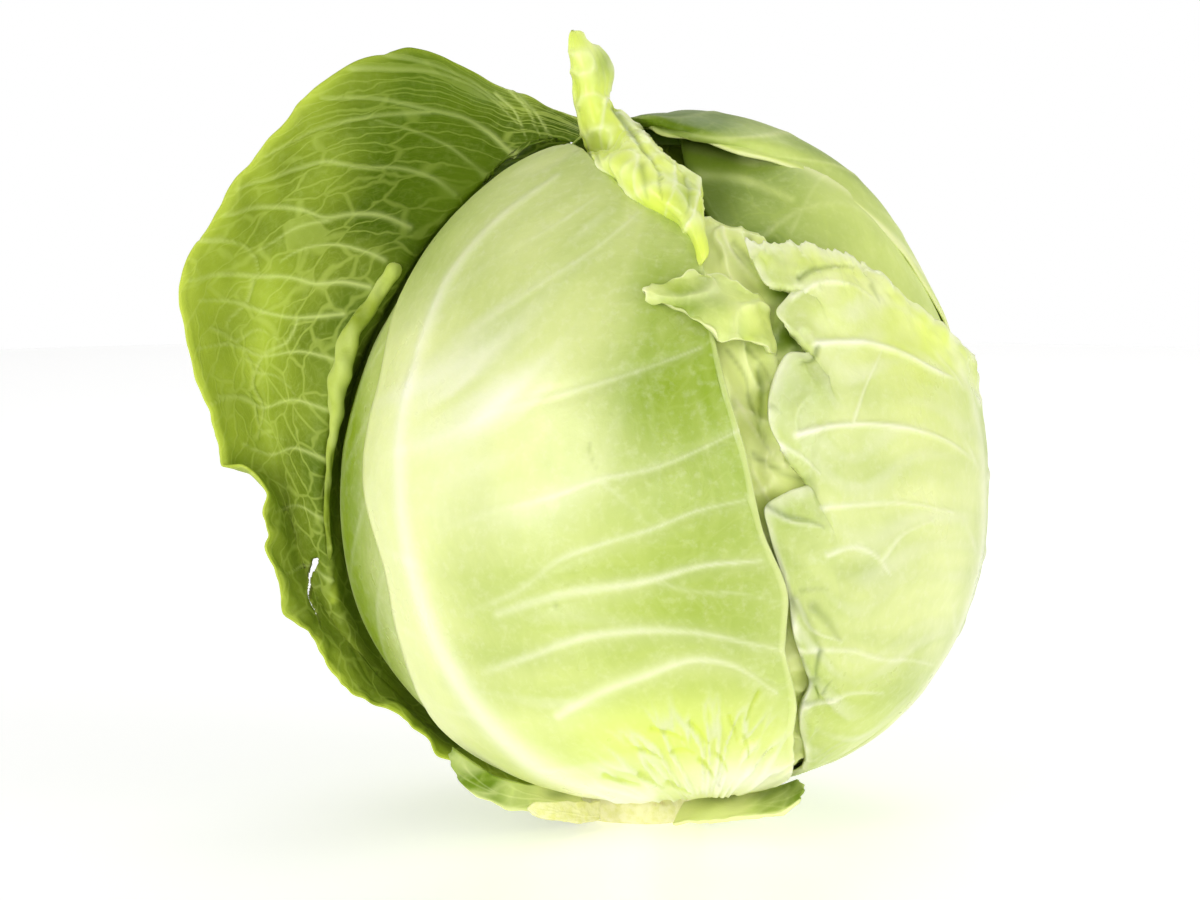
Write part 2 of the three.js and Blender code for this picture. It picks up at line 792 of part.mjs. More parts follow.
// The dark outer leaf: it hugs the head behind the left side and flares out past it.
// Its third line is the ridge of its rolled fold.
const OUTER = [
  [
    atStump(-82, 2.4),
    held(472, 786, -14),
    held(446, 762, -10),
    held(402, 716, -8),
    held(352, 692, -6),
    held(318, 652, -4),
    held(286, 606, -2),
    held(267, 548, 0),
    held(263, 515, 2),
    held(264, 487, 3.5),
    held(254, 473, 4.5),
    held(236, 464, 5.5),
    held(218, 466, 6),
    held(213, 440, 6.8),
    held(201, 400, 8),
    held(185, 342, 10),
    held(178, 278, 14),
    held(206, 228, 20),
    held(242, 168, 28),
    held(300, 101, 36),
    held(358, 59, 42),
    held(410, 48, 46),
    held(462, 66, 46),
    held(506, 90, 42),
    held(534, 99, 39),
    held(553, 110, 35),
    held(574, 126, 31),
  ],
  [
    atStump(-88, 2.1),
    held(446, 744, 0),
    held(372, 676, 5),
    held(312, 590, 10),
    held(280, 490, 16),
    held(262, 400, 22),
    held(262, 310, 29),
    held(300, 222, 36),
    held(368, 150, 42),
    held(434, 112, 44),
    held(500, 112, 41),
    held(534, 114, 36),
    held(576, 131, 28),
  ],
  [
    atStump(-95, 2.1),
    held(408, 706, 9),
    held(350, 636, 8),
    held(328, 560, 6),
    held(322, 490, 6),
    held(326, 430, 6),
    held(338, 370, 7),
    held(360, 318, 9),
    held(388, 278, 12),
    held(430, 225, 24),
    held(480, 176, 31),
    held(520, 150, 34),
    held(548, 141, 30),
    held(577, 138, 24),
  ],
  [
    atStump(-103, 2.1),
    around(-103, -45, 2.6),
    around(-106, -22, 3.4),
    around(-107, 0, 4.6),
    around(-109, 20, 5.4),
    around(-115, 38, 6),
    around(-126, 52, 7.4),
    around(-139, 61, 9),
  ],
  [
    atStump(-111, 2.1),
    around(-119, -45, 2.1),
    around(-124, -22, 2.1),
    around(-128, 0, 2.6),
    around(-132, 20, 3.6),
    around(-137, 38, 4.6),
    around(-142, 50, 6),
    around(-148, 58, 7.2),
  ],
  [
    atStump(-118, 2.1),
    around(-138, -45, 2.1),
    around(-146, -22, 2.1),
    around(-152, 0, 2.4),
    around(-156, 20, 3),
    around(-158, 36, 4),
    around(-156, 50, 5),
  ],
];

// The rolled fold that stands on that ridge and ends in a knob, from its foot to the knob
const ROLL = [
  { at: held(332, 565, 3.7), radius: 1.3 },
  { at: held(327, 500, 3.5), radius: 1.7 },
  { at: held(330, 455, 3.5), radius: 1.8 },
  { at: held(335, 425, 3.4), radius: 2.0 },
  { at: held(337, 398, 3.4), radius: 2.7 },
  { at: held(341, 372, 3.9), radius: 3.0 },
  { at: held(347, 345, 4.9), radius: 2.6 },
  { at: held(362, 318, 6.4), radius: 2.0 },
  { at: held(381, 289, 9.0), radius: 1.6 },
  { at: held(394, 272, 10.5), radius: 1.8 },
  { at: held(400, 265, 11.2), radius: 2.1 },
];

const OUTER_BACK = [
  [
    atStump(-124, -1.1),
    around(-124, -60, -1.1),
    around(-122, -35, -1.1),
    around(-121, 0, -1.1),
    around(-122, 28, -1.0),
    around(-124, 48, 0.5),
    around(-146, 63, 2.5),
    held(536, 106, 47),
  ],
  [
    atStump(-138, -1.1),
    around(-140, -60, -1.1),
    around(-143, -35, -1.1),
    around(-146, 0, -1.1),
    around(-150, 28, -0.8),
    around(-154, 48, 0.5),
    around(-158, 62, 4),
    held(560, 116, 44),
  ],
  [
    atStump(-152, -1.1),
    around(-160, -60, -1.1),
    around(-172, -35, -1.1),
    around(-178, 0, -1.1),
    around(178, 28, -0.8),
    around(176, 48, 0),
    around(178, 62, 2),
    held(588, 135, 40),
  ],
];

// Cut-off bases of removed leaves, spread round the stump
const STUB_LEFT = [
  [held(582, 817, -18.5), held(545, 812, -24), held(505, 809, -28), held(482, 797, -31), held(462, 784, -32)],
  [held(576, 808, -18), held(540, 799, -24), held(505, 793, -29), held(472, 780, -33), held(447, 764, -32)],
  [held(570, 798, -18), held(536, 788, -24), held(508, 780, -30), held(474, 762, -34), held(447, 742, -31)],
];

const STUB_FRONT = [
  [held(600, 820, -22), held(577, 823, -29), held(552, 822, -34), held(528, 817, -35)],
  [held(598, 816, -21.5), held(576, 815, -28), held(551, 812, -33), held(528, 808, -34)],
  [held(596, 812, -21), held(575, 807, -27), held(550, 803, -32), held(528, 800, -33)],
];

const STUB_RIGHT = [
  [held(672, 825, -27), held(700, 823, -33), held(740, 820, -39), held(778, 815, -42), held(800, 802, -42)],
  [held(677, 814, -21), held(704, 809, -27), held(742, 806, -32), held(782, 800, -36), held(808, 788, -39)],
  [held(684, 802, -17), held(708, 797, -20), held(742, 794, -25), held(780, 786, -29), held(801, 777, -35)],
];

const NO_RIBS = { rise: 0, petiole: 0 };

const frontBlade = blade(FRONT, {
  across: 14,
  along: 26,
  ribs: { midrib: 0.16, veins: 8, slant: 0.5, petiole: 0.8 },
});
const frontCurl = blade(CURL, { across: 6, along: 22, ribs: NO_RIBS });
const rightBlade = blade(RIGHT, {
  across: 16,
  along: 22,
  waves: { left: 1.2, right: 1, tip: 2 },
  ribs: { petiole: 0.5 },
});
const rightUpperBlade = blade(RIGHT_UPPER, { across: 8, along: 10, ribs: { rise: 0.3, petiole: 0 } });
const topBackBlade = blade(TOP_BACK, {
  across: 12,
  along: 22,
  waves: { left: 0.9, count: 12 },
  ribs: UNDER_RIBS,
});
const leftInnerBlade = blade(LEFT_INNER, { across: 12, along: 14, ribs: { rise: 0.3, petiole: 0.3 } });
const valleyBlade = blade(VALLEY, { across: 8, along: 18, ribs: { rise: 0.4, petiole: 0.3 } });
const valleyFlap = blade(FLAP, { across: 6, along: 8, ribs: NO_RIBS });
const backBlade = blade(BACK, { across: 10, along: 10, ribs: UNDER_RIBS });
const outerBlade = blade(OUTER, {
  across: 20,
  along: 34,
  waves: { left: 2.5, right: 1.6, count: 11 },
  ribs: { petiole: 0.8 },
});
const outerBackBlade = blade(OUTER_BACK, {
  across: 10,
  along: 16,
  waves: { right: 1.4, tip: 1.5 },
  ribs: UNDER_RIBS,
});

addPiece("heart", heart(), INNER);
addPiece("stem", stump(), CUT);
addPiece("leaf_front", joined(frontBlade, frontCurl, CURL_SMALLEST_EDGE), PALE);
addPiece("leaf_right", rightBlade, PALE);
addPiece("leaf_right_upper", rightUpperBlade, MEDIUM);
addPiece("leaf_top_back", topBackBlade, MEDIUM);
addPiece("leaf_left_inner", leftInnerBlade, PALE);
addPiece("leaf_valley", joined(valleyBlade, valleyFlap), MEDIUM);
addPiece("leaf_back", backBlade, MEDIUM);
addPiece("leaf_outer", joined(outerBlade, bar(ROLL)), DARK);
addPiece("leaf_outer_back", outerBackBlade, DARK);
addPiece("stub_left", blade(STUB_LEFT, { across: 4, along: 8, ribs: NO_RIBS }), MEDIUM);
addPiece("stub_front", blade(STUB_FRONT, { across: 4, along: 6, thickness: 2, ribs: NO_RIBS }), CUT);
addPiece("stub_right", blade(STUB_RIGHT, { across: 4, along: 8, ribs: NO_RIBS }), MEDIUM);

export default group;
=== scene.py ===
# %% [markdown]
# # A cabbage head in Blender
# This lesson dresses a cut cabbage head. The solid model gives the size and place of each leaf, and
# here each one is made again as a thin, ribbed blade with its own finish. All lengths in the nets are
# in millimetres, as in the solid model, and are turned into metres when a mesh is made.

# %% Load the frame and note its box
import math

import bpy
import numpy as np
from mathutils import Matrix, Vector, noise


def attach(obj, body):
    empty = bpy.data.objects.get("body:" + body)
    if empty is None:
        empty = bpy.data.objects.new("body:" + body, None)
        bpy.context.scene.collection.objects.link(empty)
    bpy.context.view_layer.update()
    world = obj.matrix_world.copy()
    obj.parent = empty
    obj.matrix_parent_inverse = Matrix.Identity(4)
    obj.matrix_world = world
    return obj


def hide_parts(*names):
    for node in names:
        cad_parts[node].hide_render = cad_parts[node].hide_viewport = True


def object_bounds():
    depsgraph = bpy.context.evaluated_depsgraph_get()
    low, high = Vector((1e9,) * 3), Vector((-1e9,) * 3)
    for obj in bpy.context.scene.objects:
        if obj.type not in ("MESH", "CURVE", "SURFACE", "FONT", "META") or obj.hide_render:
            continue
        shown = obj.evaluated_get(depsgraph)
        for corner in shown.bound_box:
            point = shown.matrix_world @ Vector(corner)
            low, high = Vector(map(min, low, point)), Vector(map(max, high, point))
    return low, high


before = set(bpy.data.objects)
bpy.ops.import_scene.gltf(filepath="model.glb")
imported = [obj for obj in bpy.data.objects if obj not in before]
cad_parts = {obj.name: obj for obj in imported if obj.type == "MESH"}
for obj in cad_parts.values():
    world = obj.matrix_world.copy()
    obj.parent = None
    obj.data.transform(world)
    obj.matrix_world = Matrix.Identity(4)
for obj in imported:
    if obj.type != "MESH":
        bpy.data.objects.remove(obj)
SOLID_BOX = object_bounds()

SOLID_BOX = [list(corner) for corner in SOLID_BOX]
print("box of the solids, in metres:", SOLID_BOX)

# %% [markdown]
# ## The form of the head
# A cabbage head is close to an egg standing on its broad end. One could sculpt it, but a formula for
# the distance from its centre to its outer form lets every leaf lie on it at its own height, so that
# layers never cut each other. A swelling or a hollow is a soft bump added to that distance.

# %% The egg
HEAD_CENTRE = np.array([7.7, 0.0, 96.0])
HEAD_HALF_WIDTH = 84.6
HEAD_HALF_DEPTH = 84.0
HEAD_HALF_HEIGHT = 92.0
HEAD_TAPER = 0.1
TOP_ROUNDNESS = 2.0
FOOT_ROUNDNESS = 2.3
HEAD_SWELLINGS = [(84, -46, -4, 32), (20, 62, -5, 16), (8, -84, -4, 32)]  # longitude, latitude, height, spread
STUMP_RADIUS = 17.0
STUMP_TOP = 17.8
FOOT_RING = STUMP_RADIUS + 3


def direction(lon, lat):
    lon, lat = np.radians(lon), np.radians(lat)
    return np.stack([np.cos(lat) * np.sin(lon), -np.cos(lat) * np.cos(lon), np.sin(lat)], axis=-1)


def head_radius(ways):
    level = np.hypot(ways[..., 0] / HEAD_HALF_WIDTH, ways[..., 1] / HEAD_HALF_DEPTH)
    upright = ways[..., 2] / HEAD_HALF_HEIGHT
    power = np.where(upright < 0, FOOT_ROUNDNESS, TOP_ROUNDNESS)
    radius = np.full(level.shape, HEAD_HALF_HEIGHT)
    for _ in range(14):
        girth = 1 - HEAD_TAPER * radius * upright
        radius = ((level / girth) ** power + np.abs(upright) ** power) ** (-1 / power)
    for lon, lat, height, spread in HEAD_SWELLINGS:
        angle = np.degrees(np.arccos(np.clip(ways @ direction(lon, lat), -1, 1)))
        radius = radius + height * np.exp(-((angle / spread) ** 2))
    return radius


print("head across, in mm:", 2 * float(head_radius(direction(90, 0))))

# %% [markdown]
# ## Points placed from pixels
# The photograph was taken from a little above. A pixel is turned into a ray from that eye, and the
# ray into a point at a stated height over the head's form. Each point is kept as a direction from
# the head's centre and a lift over its form, which makes it easy to lay one leaf over another.

# %% From a pixel to a point on the head
VIEW_ELEVATION = math.radians(8)
VIEW_DISTANCE = 1200.0
MM_PER_PIXEL = 0.2667
FOOT_PIXEL = (640, 811.5)
MIDDLE_PIXEL = (600, 450)
VIEW_RIGHT = np.array([1.0, 0.0, 0.0])
VIEW_UP = np.array([0.0, math.sin(VIEW_ELEVATION), math.cos(VIEW_ELEVATION)])
VIEW_BACK = np.array([0.0, -math.cos(VIEW_ELEVATION), math.sin(VIEW_ELEVATION)])


def on_view_plane(x, y):
    return (x - FOOT_PIXEL[0]) * MM_PER_PIXEL * VIEW_RIGHT + (FOOT_PIXEL[1] - y) * MM_PER_PIXEL * VIEW_UP


EYE = on_view_plane(*MIDDLE_PIXEL) + VIEW_DISTANCE * VIEW_BACK


def from_place(place):
    reach = place - HEAD_CENTRE
    length = np.linalg.norm(reach)
    return np.append(reach / length, length - head_radius(reach / length))


def around(lon, lat, lift):
    return np.append(direction(lon, lat), lift)


def held(x, y, depth):
    ray = on_view_plane(x, y) - EYE
    return from_place(EYE + ray * (depth - EYE[1]) / ray[1])


def seen(x, y, lift):
    ray = on_view_plane(x, y) - EYE
    ray /= np.linalg.norm(ray)
    inside = (HEAD_CENTRE - EYE) @ ray
    outside = inside - 160
    if from_place(EYE + inside * ray)[3] < lift:
        for _ in range(26):
            middle = (inside + outside) / 2
            if from_place(EYE + middle * ray)[3] < lift:
                inside = middle
            else:
                outside = middle
    return np.append(from_place(EYE + inside * ray)[:3], lift)


def at_stump(lon, lift):
    spot = FOOT_RING * direction(lon, 0) + np.array([0, 0, STUMP_TOP])
    for _ in range(20):
        spot[2] += from_place(spot)[3] - lift
    return from_place(spot)


def place(ways, lifts):
    return HEAD_CENTRE + ways * (head_radius(ways) + lifts)[..., None]


def pixels_of(places):
    reach = places - EYE
    near = -(reach @ VIEW_BACK)
    scale = VIEW_DISTANCE / near / MM_PER_PIXEL
    return np.stack([MIDDLE_PIXEL[0] + (reach @ VIEW_RIGHT) * scale, MIDDLE_PIXEL[1] - (reach @ VIEW_UP) * scale], -1)


print("the eye is at, in mm:", EYE.round(1))

# %% [markdown]
# ## From a net of points to a surface
# A leaf is drawn as a few lines from its foot to its tip. A smooth curve runs through each line, and
# then across the lines. Blender's own surfaces could do this, but with plain arithmetic the same net
# gives the same leaf here and in the solid model.

# %% Smooth curves and the surface of a net


def smooth_through(knots, rows, at):
    knots = np.asarray(knots, float)
    steps = np.diff(knots).reshape((-1,) + (1,) * (rows.ndim - 1))
    rise = np.diff(rows, axis=0) / steps
    slopes = np.empty_like(rows)
    slopes[0], slopes[-1] = rise[0], rise[-1]
    slopes[1:-1] = (rise[:-1] * steps[1:] + rise[1:] * steps[:-1]) / (steps[1:] + steps[:-1])
    low = np.clip(np.searchsorted(knots, at, side="right") - 1, 0, len(knots) - 2)
    span = (knots[low + 1] - knots[low]).reshape((-1,) + (1,) * (rows.ndim - 1))
    share = ((at - knots[low]) / span.ravel()).reshape(span.shape)
    s2, s3 = share**2, share**3
    return (
        rows[low] * (2 * s3 - 3 * s2 + 1)
        + slopes[low] * span * (s3 - 2 * s2 + share)
        + rows[low + 1] * (3 * s2 - 2 * s3)
        + slopes[low + 1] * span * (s3 - s2)
    )


def net_surface(net, across, along):
    lines = []
    for points in net:
        rows = np.array(points)
        steps = np.linalg.norm(np.diff(place(rows[:, :3], rows[:, 3]), axis=0), axis=1)
        knots = np.append(0, np.cumsum(steps))
        lines.append(smooth_through(knots / knots[-1], rows, along))
    grid = smooth_through(np.linspace(0, 1, len(net)), np.array(lines), across)
    grid = np.swapaxes(grid, 0, 1)
    ways = grid[..., :3] / np.linalg.norm(grid[..., :3], axis=-1, keepdims=True)
    return ways, grid[..., 3]


def ramp(start, end, at):
    share = np.clip((at - start) / (end - start), 0, 1)
    return share * share * (3 - 2 * share)


def waves_of(places, size, seed):
    """Smooth noise from -1 to 1 at each place, with bumps of about the given size in mm."""
    shift = Vector((seed * 13.7, seed * 7.1, seed * 3.3))
    flat = places.reshape(-1, 3) / size
    values = [noise.noise(Vector(spot) + shift) for spot in flat]
    return np.array(values).reshape(places.shape[:-1])


# %% [markdown]
# ## The nets of the leaves
# These are the same points as in the solid model. seen() gives a point where the photograph shows it,
# held() also says how deep it is, and around() gives the points that the photograph doesn't show.

# %% Nets
FRONT = [
  [
    at_stump(-34, -1.1),
    seen(560, 789, -0.9),
    seen(500, 773, -1.1),
    seen(440, 725, -1.1),
    seen(408, 668, -1.1),
    seen(386, 575, -1.1),
    seen(364, 470, -1.1),
    seen(380, 385, -1.1),
    seen(405, 292, -1.1),
    seen(460, 203, -1.1),
    seen(520, 162, -1.1),
    seen(562, 146, -1.1),
  ],
  [
    at_stump(-17, -1.1),
    seen(610, 791, -0.9),
    seen(560, 765, -0.8),
    seen(500, 700, -0.5),
    seen(462, 600, -0.3),
    seen(448, 500, -0.3),
    seen(458, 400, -0.5),
    seen(488, 300, -0.9),
    seen(530, 220, -1.1),
    seen(560, 180, -1.1),
    seen(580, 150, -1.1),
  ],
  [
    at_stump(0, -1.1),
    seen(650, 792, -0.9),
    seen(640, 745, -1.1),
    seen(615, 650, -1.1),
    seen(605, 530, -1.1),
    seen(605, 400, -1.1),
    seen(610, 300, -1.1),
    seen(616, 230, -1.1),
    seen(612, 195, -1.1),
    seen(604, 172, -1.1),
  ],
  [
    at_stump(17, -1.1),
    seen(710, 792, -0.9),
    seen(722, 745, -1.1),
    seen(715, 650, -1.1),
    seen(698, 530, -1.1),
    seen(678, 420, -1.1),
    seen(664, 330, -1.1),
    seen(655, 270, -1.1),
    seen(648, 230, -1.1),
    seen(642, 205, -1.1),
  ],
  [
    at_stump(34, -1.1),
    seen(788, 769, -0.9),
    seen(793, 736, -0.9),
    seen(794, 700, -0.9),
    seen(784, 640, -0.6),
    seen(786, 592, -0.4),
    seen(762, 530, -0.2),
    seen(744, 450, 0.0),
    seen(722, 375, -0.2),
    seen(713, 335, -0.8),
    seen(706, 290, -1.0),
    seen(700, 255, -1.1),
    seen(692, 232, -1.1),
  ],
]

# The rolled and twisted top of the front leaf's right margin, up to its pointed tip
CURL = [
  [
    seen(700, 268, -0.7),
    seen(688, 230, -0.7),
    seen(660, 212, -0.7),
    seen(638, 200, -0.7),
    seen(620, 180, -0.7),
    seen(600, 166, -0.7),
    held(587, 146, -4),
    held(581, 122, -5),
    held(577, 90, -6),
    held(573, 55, -8),
    held(571, 30, -8),
  ],
  [
    seen(704, 262, 1.5),
    seen(694, 232, 3),
    seen(672, 205, 4.5),
    seen(648, 185, 5),
    seen(628, 165, 5.5),
    held(608, 142, -14),
    held(594, 124, -13),
    held(587, 98, -13),
    held(582, 70, -13),
    held(577, 47, -11),
    held(572, 30, -8),
  ],
  [
    seen(706, 258, 2),
    seen(698, 225, 3.5),
    seen(690, 190, 4),
    seen(665, 168, 4),
    seen(643, 145, 4.5),
    held(618, 122, -12),
    held(602, 104, -10),
    held(600, 82, -10),
    held(594, 62, -11),
    held(583, 46, -10),
    held(573, 30, -8),
  ],
  [
    seen(706, 254, 0.5),
    seen(698, 213, 0.5),
    seen(697, 182, 0.5),
    seen(672, 164, 1.0),
    held(650, 148, -9),
    held(624, 118, -7),
    held(604, 96, -5),
    held(612, 74, -3),
    held(602, 52, -5),
    held(585, 44, -7),
    held(574, 31, -8),
  ],
]

VALLEY = [
  [
    at_stump(24, -3.9),
    seen(735, 775, -3.9),
    seen(745, 690, -3.9),
    seen(735, 600, -4.1),
    seen(705, 500, -4.3),
    seen(690, 420, -4.3),
    seen(672, 340, -3.9),
    seen(664, 280, -3.9),
    seen(664, 240, -3.9),
    seen(690, 212, -3.9),
  ],
  [
    at_stump(31, -3.9),
    seen(785, 775, -3.9),
    seen(802, 690, -4.3),
    seen(792, 600, -5.0),
    seen(766, 500, -5.2),
    seen(752, 420, -5.0),
    seen(738, 345, -4.0),
    seen(718, 285, -3.4),
    seen(705, 250, -3.4),
    seen(712, 222, -3.6),
  ],
  [
    at_stump(38, -3.9),
    seen(838, 763, -4.6),
    seen(858, 690, -3.9),
    seen(850, 600, -4.1),
    seen(830, 500, -4.3),
    seen(816, 420, -4.3),
    seen(806, 350, -4.3),
    seen(792, 300, -4.2),
    seen(778, 262, -4.0),
    seen(758, 234, -4.0),
  ],
]

# A torn flap of the valley leaf, folded to the left over the front leaf's margin
FLAP = [
  [seen(762, 352, -3.2), seen(752, 346, 0.5), seen(716, 334, 1.6), seen(680, 314, 1.4), seen(648, 297, 1.2)],
  [seen(757, 325, -3.2), seen(747, 318, 1.2), seen(716, 306, 2.8), seen(680, 298, 2.0), seen(646, 292, 1.2)],
  [seen(748, 296, -3.2), seen(738, 288, 0.6), seen(708, 275, 1.6), seen(680, 282, 1.4), seen(648, 288, 1.2)],
]

RIGHT = [
  [
    at_stump(46, -1.1),
    seen(801, 765, -1.1),
    seen(804, 744, -1.1),
    seen(806, 700, -1.1),
    seen(795, 640, -0.8),
    seen(790, 598, -0.8),
    seen(778, 560, -0.7),
    seen(768, 512, -0.5),
    seen(792, 468, -0.3),
    seen(771, 412, 0.2),
    seen(780, 362, 0.2),
    seen(806, 335, 0.4),
    seen(784, 304, 1.0),
    seen(748, 252, 0.2),
  ],
  [
    at_stump(56, -1.1),
    seen(832, 768, -1.1),
    seen(852, 690, -1.1),
    seen(852, 600, -1.1),
    seen(850, 500, -1.1),
    seen(842, 420, -1.1),
    seen(838, 350, -0.8),
    seen(828, 300, -0.2),
    seen(806, 244, 0.2),
  ],
  [
    at_stump(66, -1.1),
    seen(860, 755, -1.1),
    seen(908, 680, -1.1),
    seen(918, 600, -1.1),
    seen(918, 500, -1.1),
    seen(908, 420, -1.1),
    seen(892, 350, -1.1),
    seen(876, 305, -0.6),
    seen(856, 258, 0),
  ],
  [
    at_stump(76, -1.1),
    around(66, -62, -1.1),
    around(66, -45, -1.1),
    around(69, -25, -1.1),
    around(71, -5, -1.1),
    around(71, 8, -1.1),
    around(69, 19, -1.1),
    around(66, 28, -0.2),
  ],
  [
    at_stump(86, -1.1),
    around(92, -62, -1.1),
    around(94, -45, -1.1),
    around(97, -20, -1.1),
    around(98, 0, -1.1),
    around(98, 14, -0.6),
  ],
  [
    at_stump(98, -1.1),
    around(118, -62, -1.1),
    around(127, -45, -1.1),
    around(131, -20, -0.9),
    around(131, -4, -0.7),
    around(128, 9, -0.6),
  ],
]

RIGHT_UPPER = [
  [
    seen(768, 420, -6.7),
    seen(752, 350, -6.9),
    seen(738, 290, -6.9),
    seen(712, 228, -7.2),
    seen(690, 182, -7.2),
    seen(676, 132, -7.2),
  ],
  [
    seen(840, 420, -6.7),
    seen(838, 350, -6.7),
    seen(828, 290, -5.4),
    seen(806, 225, -4.8),
    seen(776, 180, -5.6),
    seen(745, 140, -6.6),
  ],
  [
    seen(915, 420, -6.7),
    seen(905, 350, -5.8),
    seen(888, 285, -4.6),
    seen(852, 222, -4.6),
    seen(815, 172, -6.2),
    around(60, 66, -6.7),
  ],
  [
    around(86, 4, -6.7),
    around(88, 22, -6.4),
    around(88, 38, -6.4),
    around(88, 52, -6.7),
    around(86, 64, -6.7),
  ],
]

TOP_BACK = [
  [
    at_stump(118, -3.9),
    around(100, -60, -3.9),
    around(96, -35, -3.9),
    around(91, -5, -3.9),
    seen(962, 335, -3.4),
    seen(925, 290, -2.8),
    seen(880, 232, -2.6),
    seen(832, 196, -2.6),
    seen(785, 168, -2.6),
    seen(740, 156, -2.6),
    seen(700, 142, -2.6),
    seen(666, 137, -2.8),
    held(640, 128, 0),
    held(618, 121, 4),
  ],
  [
    at_stump(134, -3.9),
    around(126, -60, -3.9),
    around(124, -35, -3.9),
    around(119, 0, -3.9),
    around(112, 30, -2.4),
    around(98, 52, 0.2),
    around(78, 66, 0.2),
    around(45, 75, 0.2),
    around(5, 80, -0.6),
    around(-50, 84, -1.4),
  ],
  [
    at_stump(150, -3.9),
    around(154, -60, -3.9),
    around(158, -35, -3.9),
    around(160, 0, -3.9),
    around(162, 35, -3.9),
    around(166, 62, -3.4),
    around(175, 80, -2.6),
    around(-30, 86, -2.6),
  ],
  [
    at_stump(168, -3.9),
    around(184, -60, -3.9),
    around(194, -35, -3.9),
    around(202, 0, -3.9),
    around(208, 30, -3.9),
    around(218, 52, -3.9),
    around(232, 66, -3.6),
    around(260, 76, -3.6),
  ],
]

LEFT_INNER = [
  [
    at_stump(-112, -3.9),
    around(-112, -60, -3.9),
    around(-112, -40, -3.9),
    around(-112, -10, -3.9),
    around(-114, 20, -3.9),
    around(-118, 38, -3.9),
    around(-124, 50, -3.9),
  ],
  [
    at_stump(-102, -3.9),
    around(-98, -60, -3.9),
    around(-97, -40, -3.0),
    around(-97, -10, 0.2),
    around(-98, 15, -0.6),
    around(-103, 36, -2.8),
    around(-110, 52, -3.9),
  ],
  [
    at_stump(-90, -3.9),
    around(-84, -60, -3.8),
    around(-85, -40, -2.8),
    around(-86, -10, 0.3),
    around(-86, 15, -0.8),
    around(-87, 36, -2.8),
    around(-90, 54, -3.9),
  ],
  [
    at_stump(-78, -3.9),
    around(-70, -60, -3.9),
    around(-71, -40, -3.9),
    around(-74, -10, -3.6),
    around(-74, 15, -3.8),
    around(-72, 38, -3.9),
    around(-70, 57, -3.9),
  ],
  [
    at_stump(-66, -3.9),
    around(-54, -60, -3.9),
    around(-56, -40, -3.9),
    around(-58, -10, -3.9),
    around(-58, 20, -3.9),
    around(-57, 42, -3.9),
    around(-50, 60, -3.9),
  ],
]

BACK = [
  [around(148, -62, -6.7), around(148, -20, -6.7), around(148, 20, -6.7), around(150, 58, -6.7)],
  [around(-178, -62, -6.7), around(-178, -20, -6.7), around(-178, 20, -6.7), around(-176, 66, -6.7)],
  [around(-145, -62, -6.7), around(-145, -20, -6.7), around(-145, 20, -6.7), around(-146, 66, -6.7)],
  [around(-108, -62, -6.7), around(-108, -20, -6.7), around(-108, 20, -6.7), around(-112, 58, -6.7)],
]

# The dark outer leaf: it hugs the head behind the left side and flares out past it.
# Its third line is the ridge of its rolled fold.
OUTER = [
  [
    at_stump(-82, 2.4),
    held(472, 786, -14),
    held(446, 762, -10),
    held(402, 716, -8),
    held(352, 692, -6),
    held(318, 652, -4),
    held(286, 606, -2),
    held(267, 548, 0),
    held(263, 515, 2),
    held(264, 487, 3.5),
    held(254, 473, 4.5),
    held(236, 464, 5.5),
    held(218, 466, 6),
    held(213, 440, 6.8),
    held(201, 400, 8),
    held(185, 342, 10),
    held(178, 278, 14),
    held(206, 228, 20),
    held(242, 168, 28),
    held(300, 101, 36),
    held(358, 59, 42),
    held(410, 48, 46),
    held(462, 66, 46),
    held(506, 90, 42),
    held(534, 99, 39),
    held(553, 110, 35),
    held(574, 126, 31),
  ],
  [
    at_stump(-88, 2.1),
    held(446, 744, 0),
    held(372, 676, 5),
    held(312, 590, 10),
    held(280, 490, 16),
    held(262, 400, 22),
    held(262, 310, 29),
    held(300, 222, 36),
    held(368, 150, 42),
    held(434, 112, 44),
    held(500, 112, 41),
    held(534, 114, 36),
    held(576, 131, 28),
  ],
  [
    at_stump(-95, 2.1),
    held(408, 706, 9),
    held(350, 636, 8),
    held(328, 560, 6),
    held(322, 490, 6),
    held(326, 430, 6),
    held(338, 370, 7),
    held(360, 318, 9),
    held(388, 278, 12),
    held(430, 225, 24),
    held(480, 176, 31),
    held(520, 150, 34),
    held(548, 141, 30),
    held(577, 138, 24),
  ],
  [
    at_stump(-103, 2.1),
    around(-103, -45, 2.6),
    around(-106, -22, 3.4),
    around(-107, 0, 4.6),
    around(-109, 20, 5.4),
    around(-115, 38, 6),
    around(-126, 52, 7.4),
    around(-139, 61, 9),
  ],
  [
    at_stump(-111, 2.1),
    around(-119, -45, 2.1),
    around(-124, -22, 2.1),
    around(-128, 0, 2.6),
    around(-132, 20, 3.6),
    around(-137, 38, 4.6),
    around(-142, 50, 6),
    around(-148, 58, 7.2),
  ],
  [
    at_stump(-118, 2.1),
    around(-138, -45, 2.1),
    around(-146, -22, 2.1),
    around(-152, 0, 2.4),
    around(-156, 20, 3),
    around(-158, 36, 4),
    around(-156, 50, 5),
  ],
]

# The rolled fold that stands on that ridge and ends in a knob, from its foot to the knob
ROLL = [
  (held(332, 565, 3.7), 1.3),
  (held(327, 500, 3.5), 1.7),
  (held(330, 455, 3.5), 1.8),
  (held(335, 425, 3.4), 2.0),
  (held(337, 398, 3.4), 2.7),
  (held(341, 372, 3.9), 3.0),
  (held(347, 345, 4.9), 2.6),
  (held(362, 318, 6.4), 2.0),
  (held(381, 289, 9.0), 1.6),
  (held(394, 272, 10.5), 1.8),
  (held(400, 265, 11.2), 2.1),
]

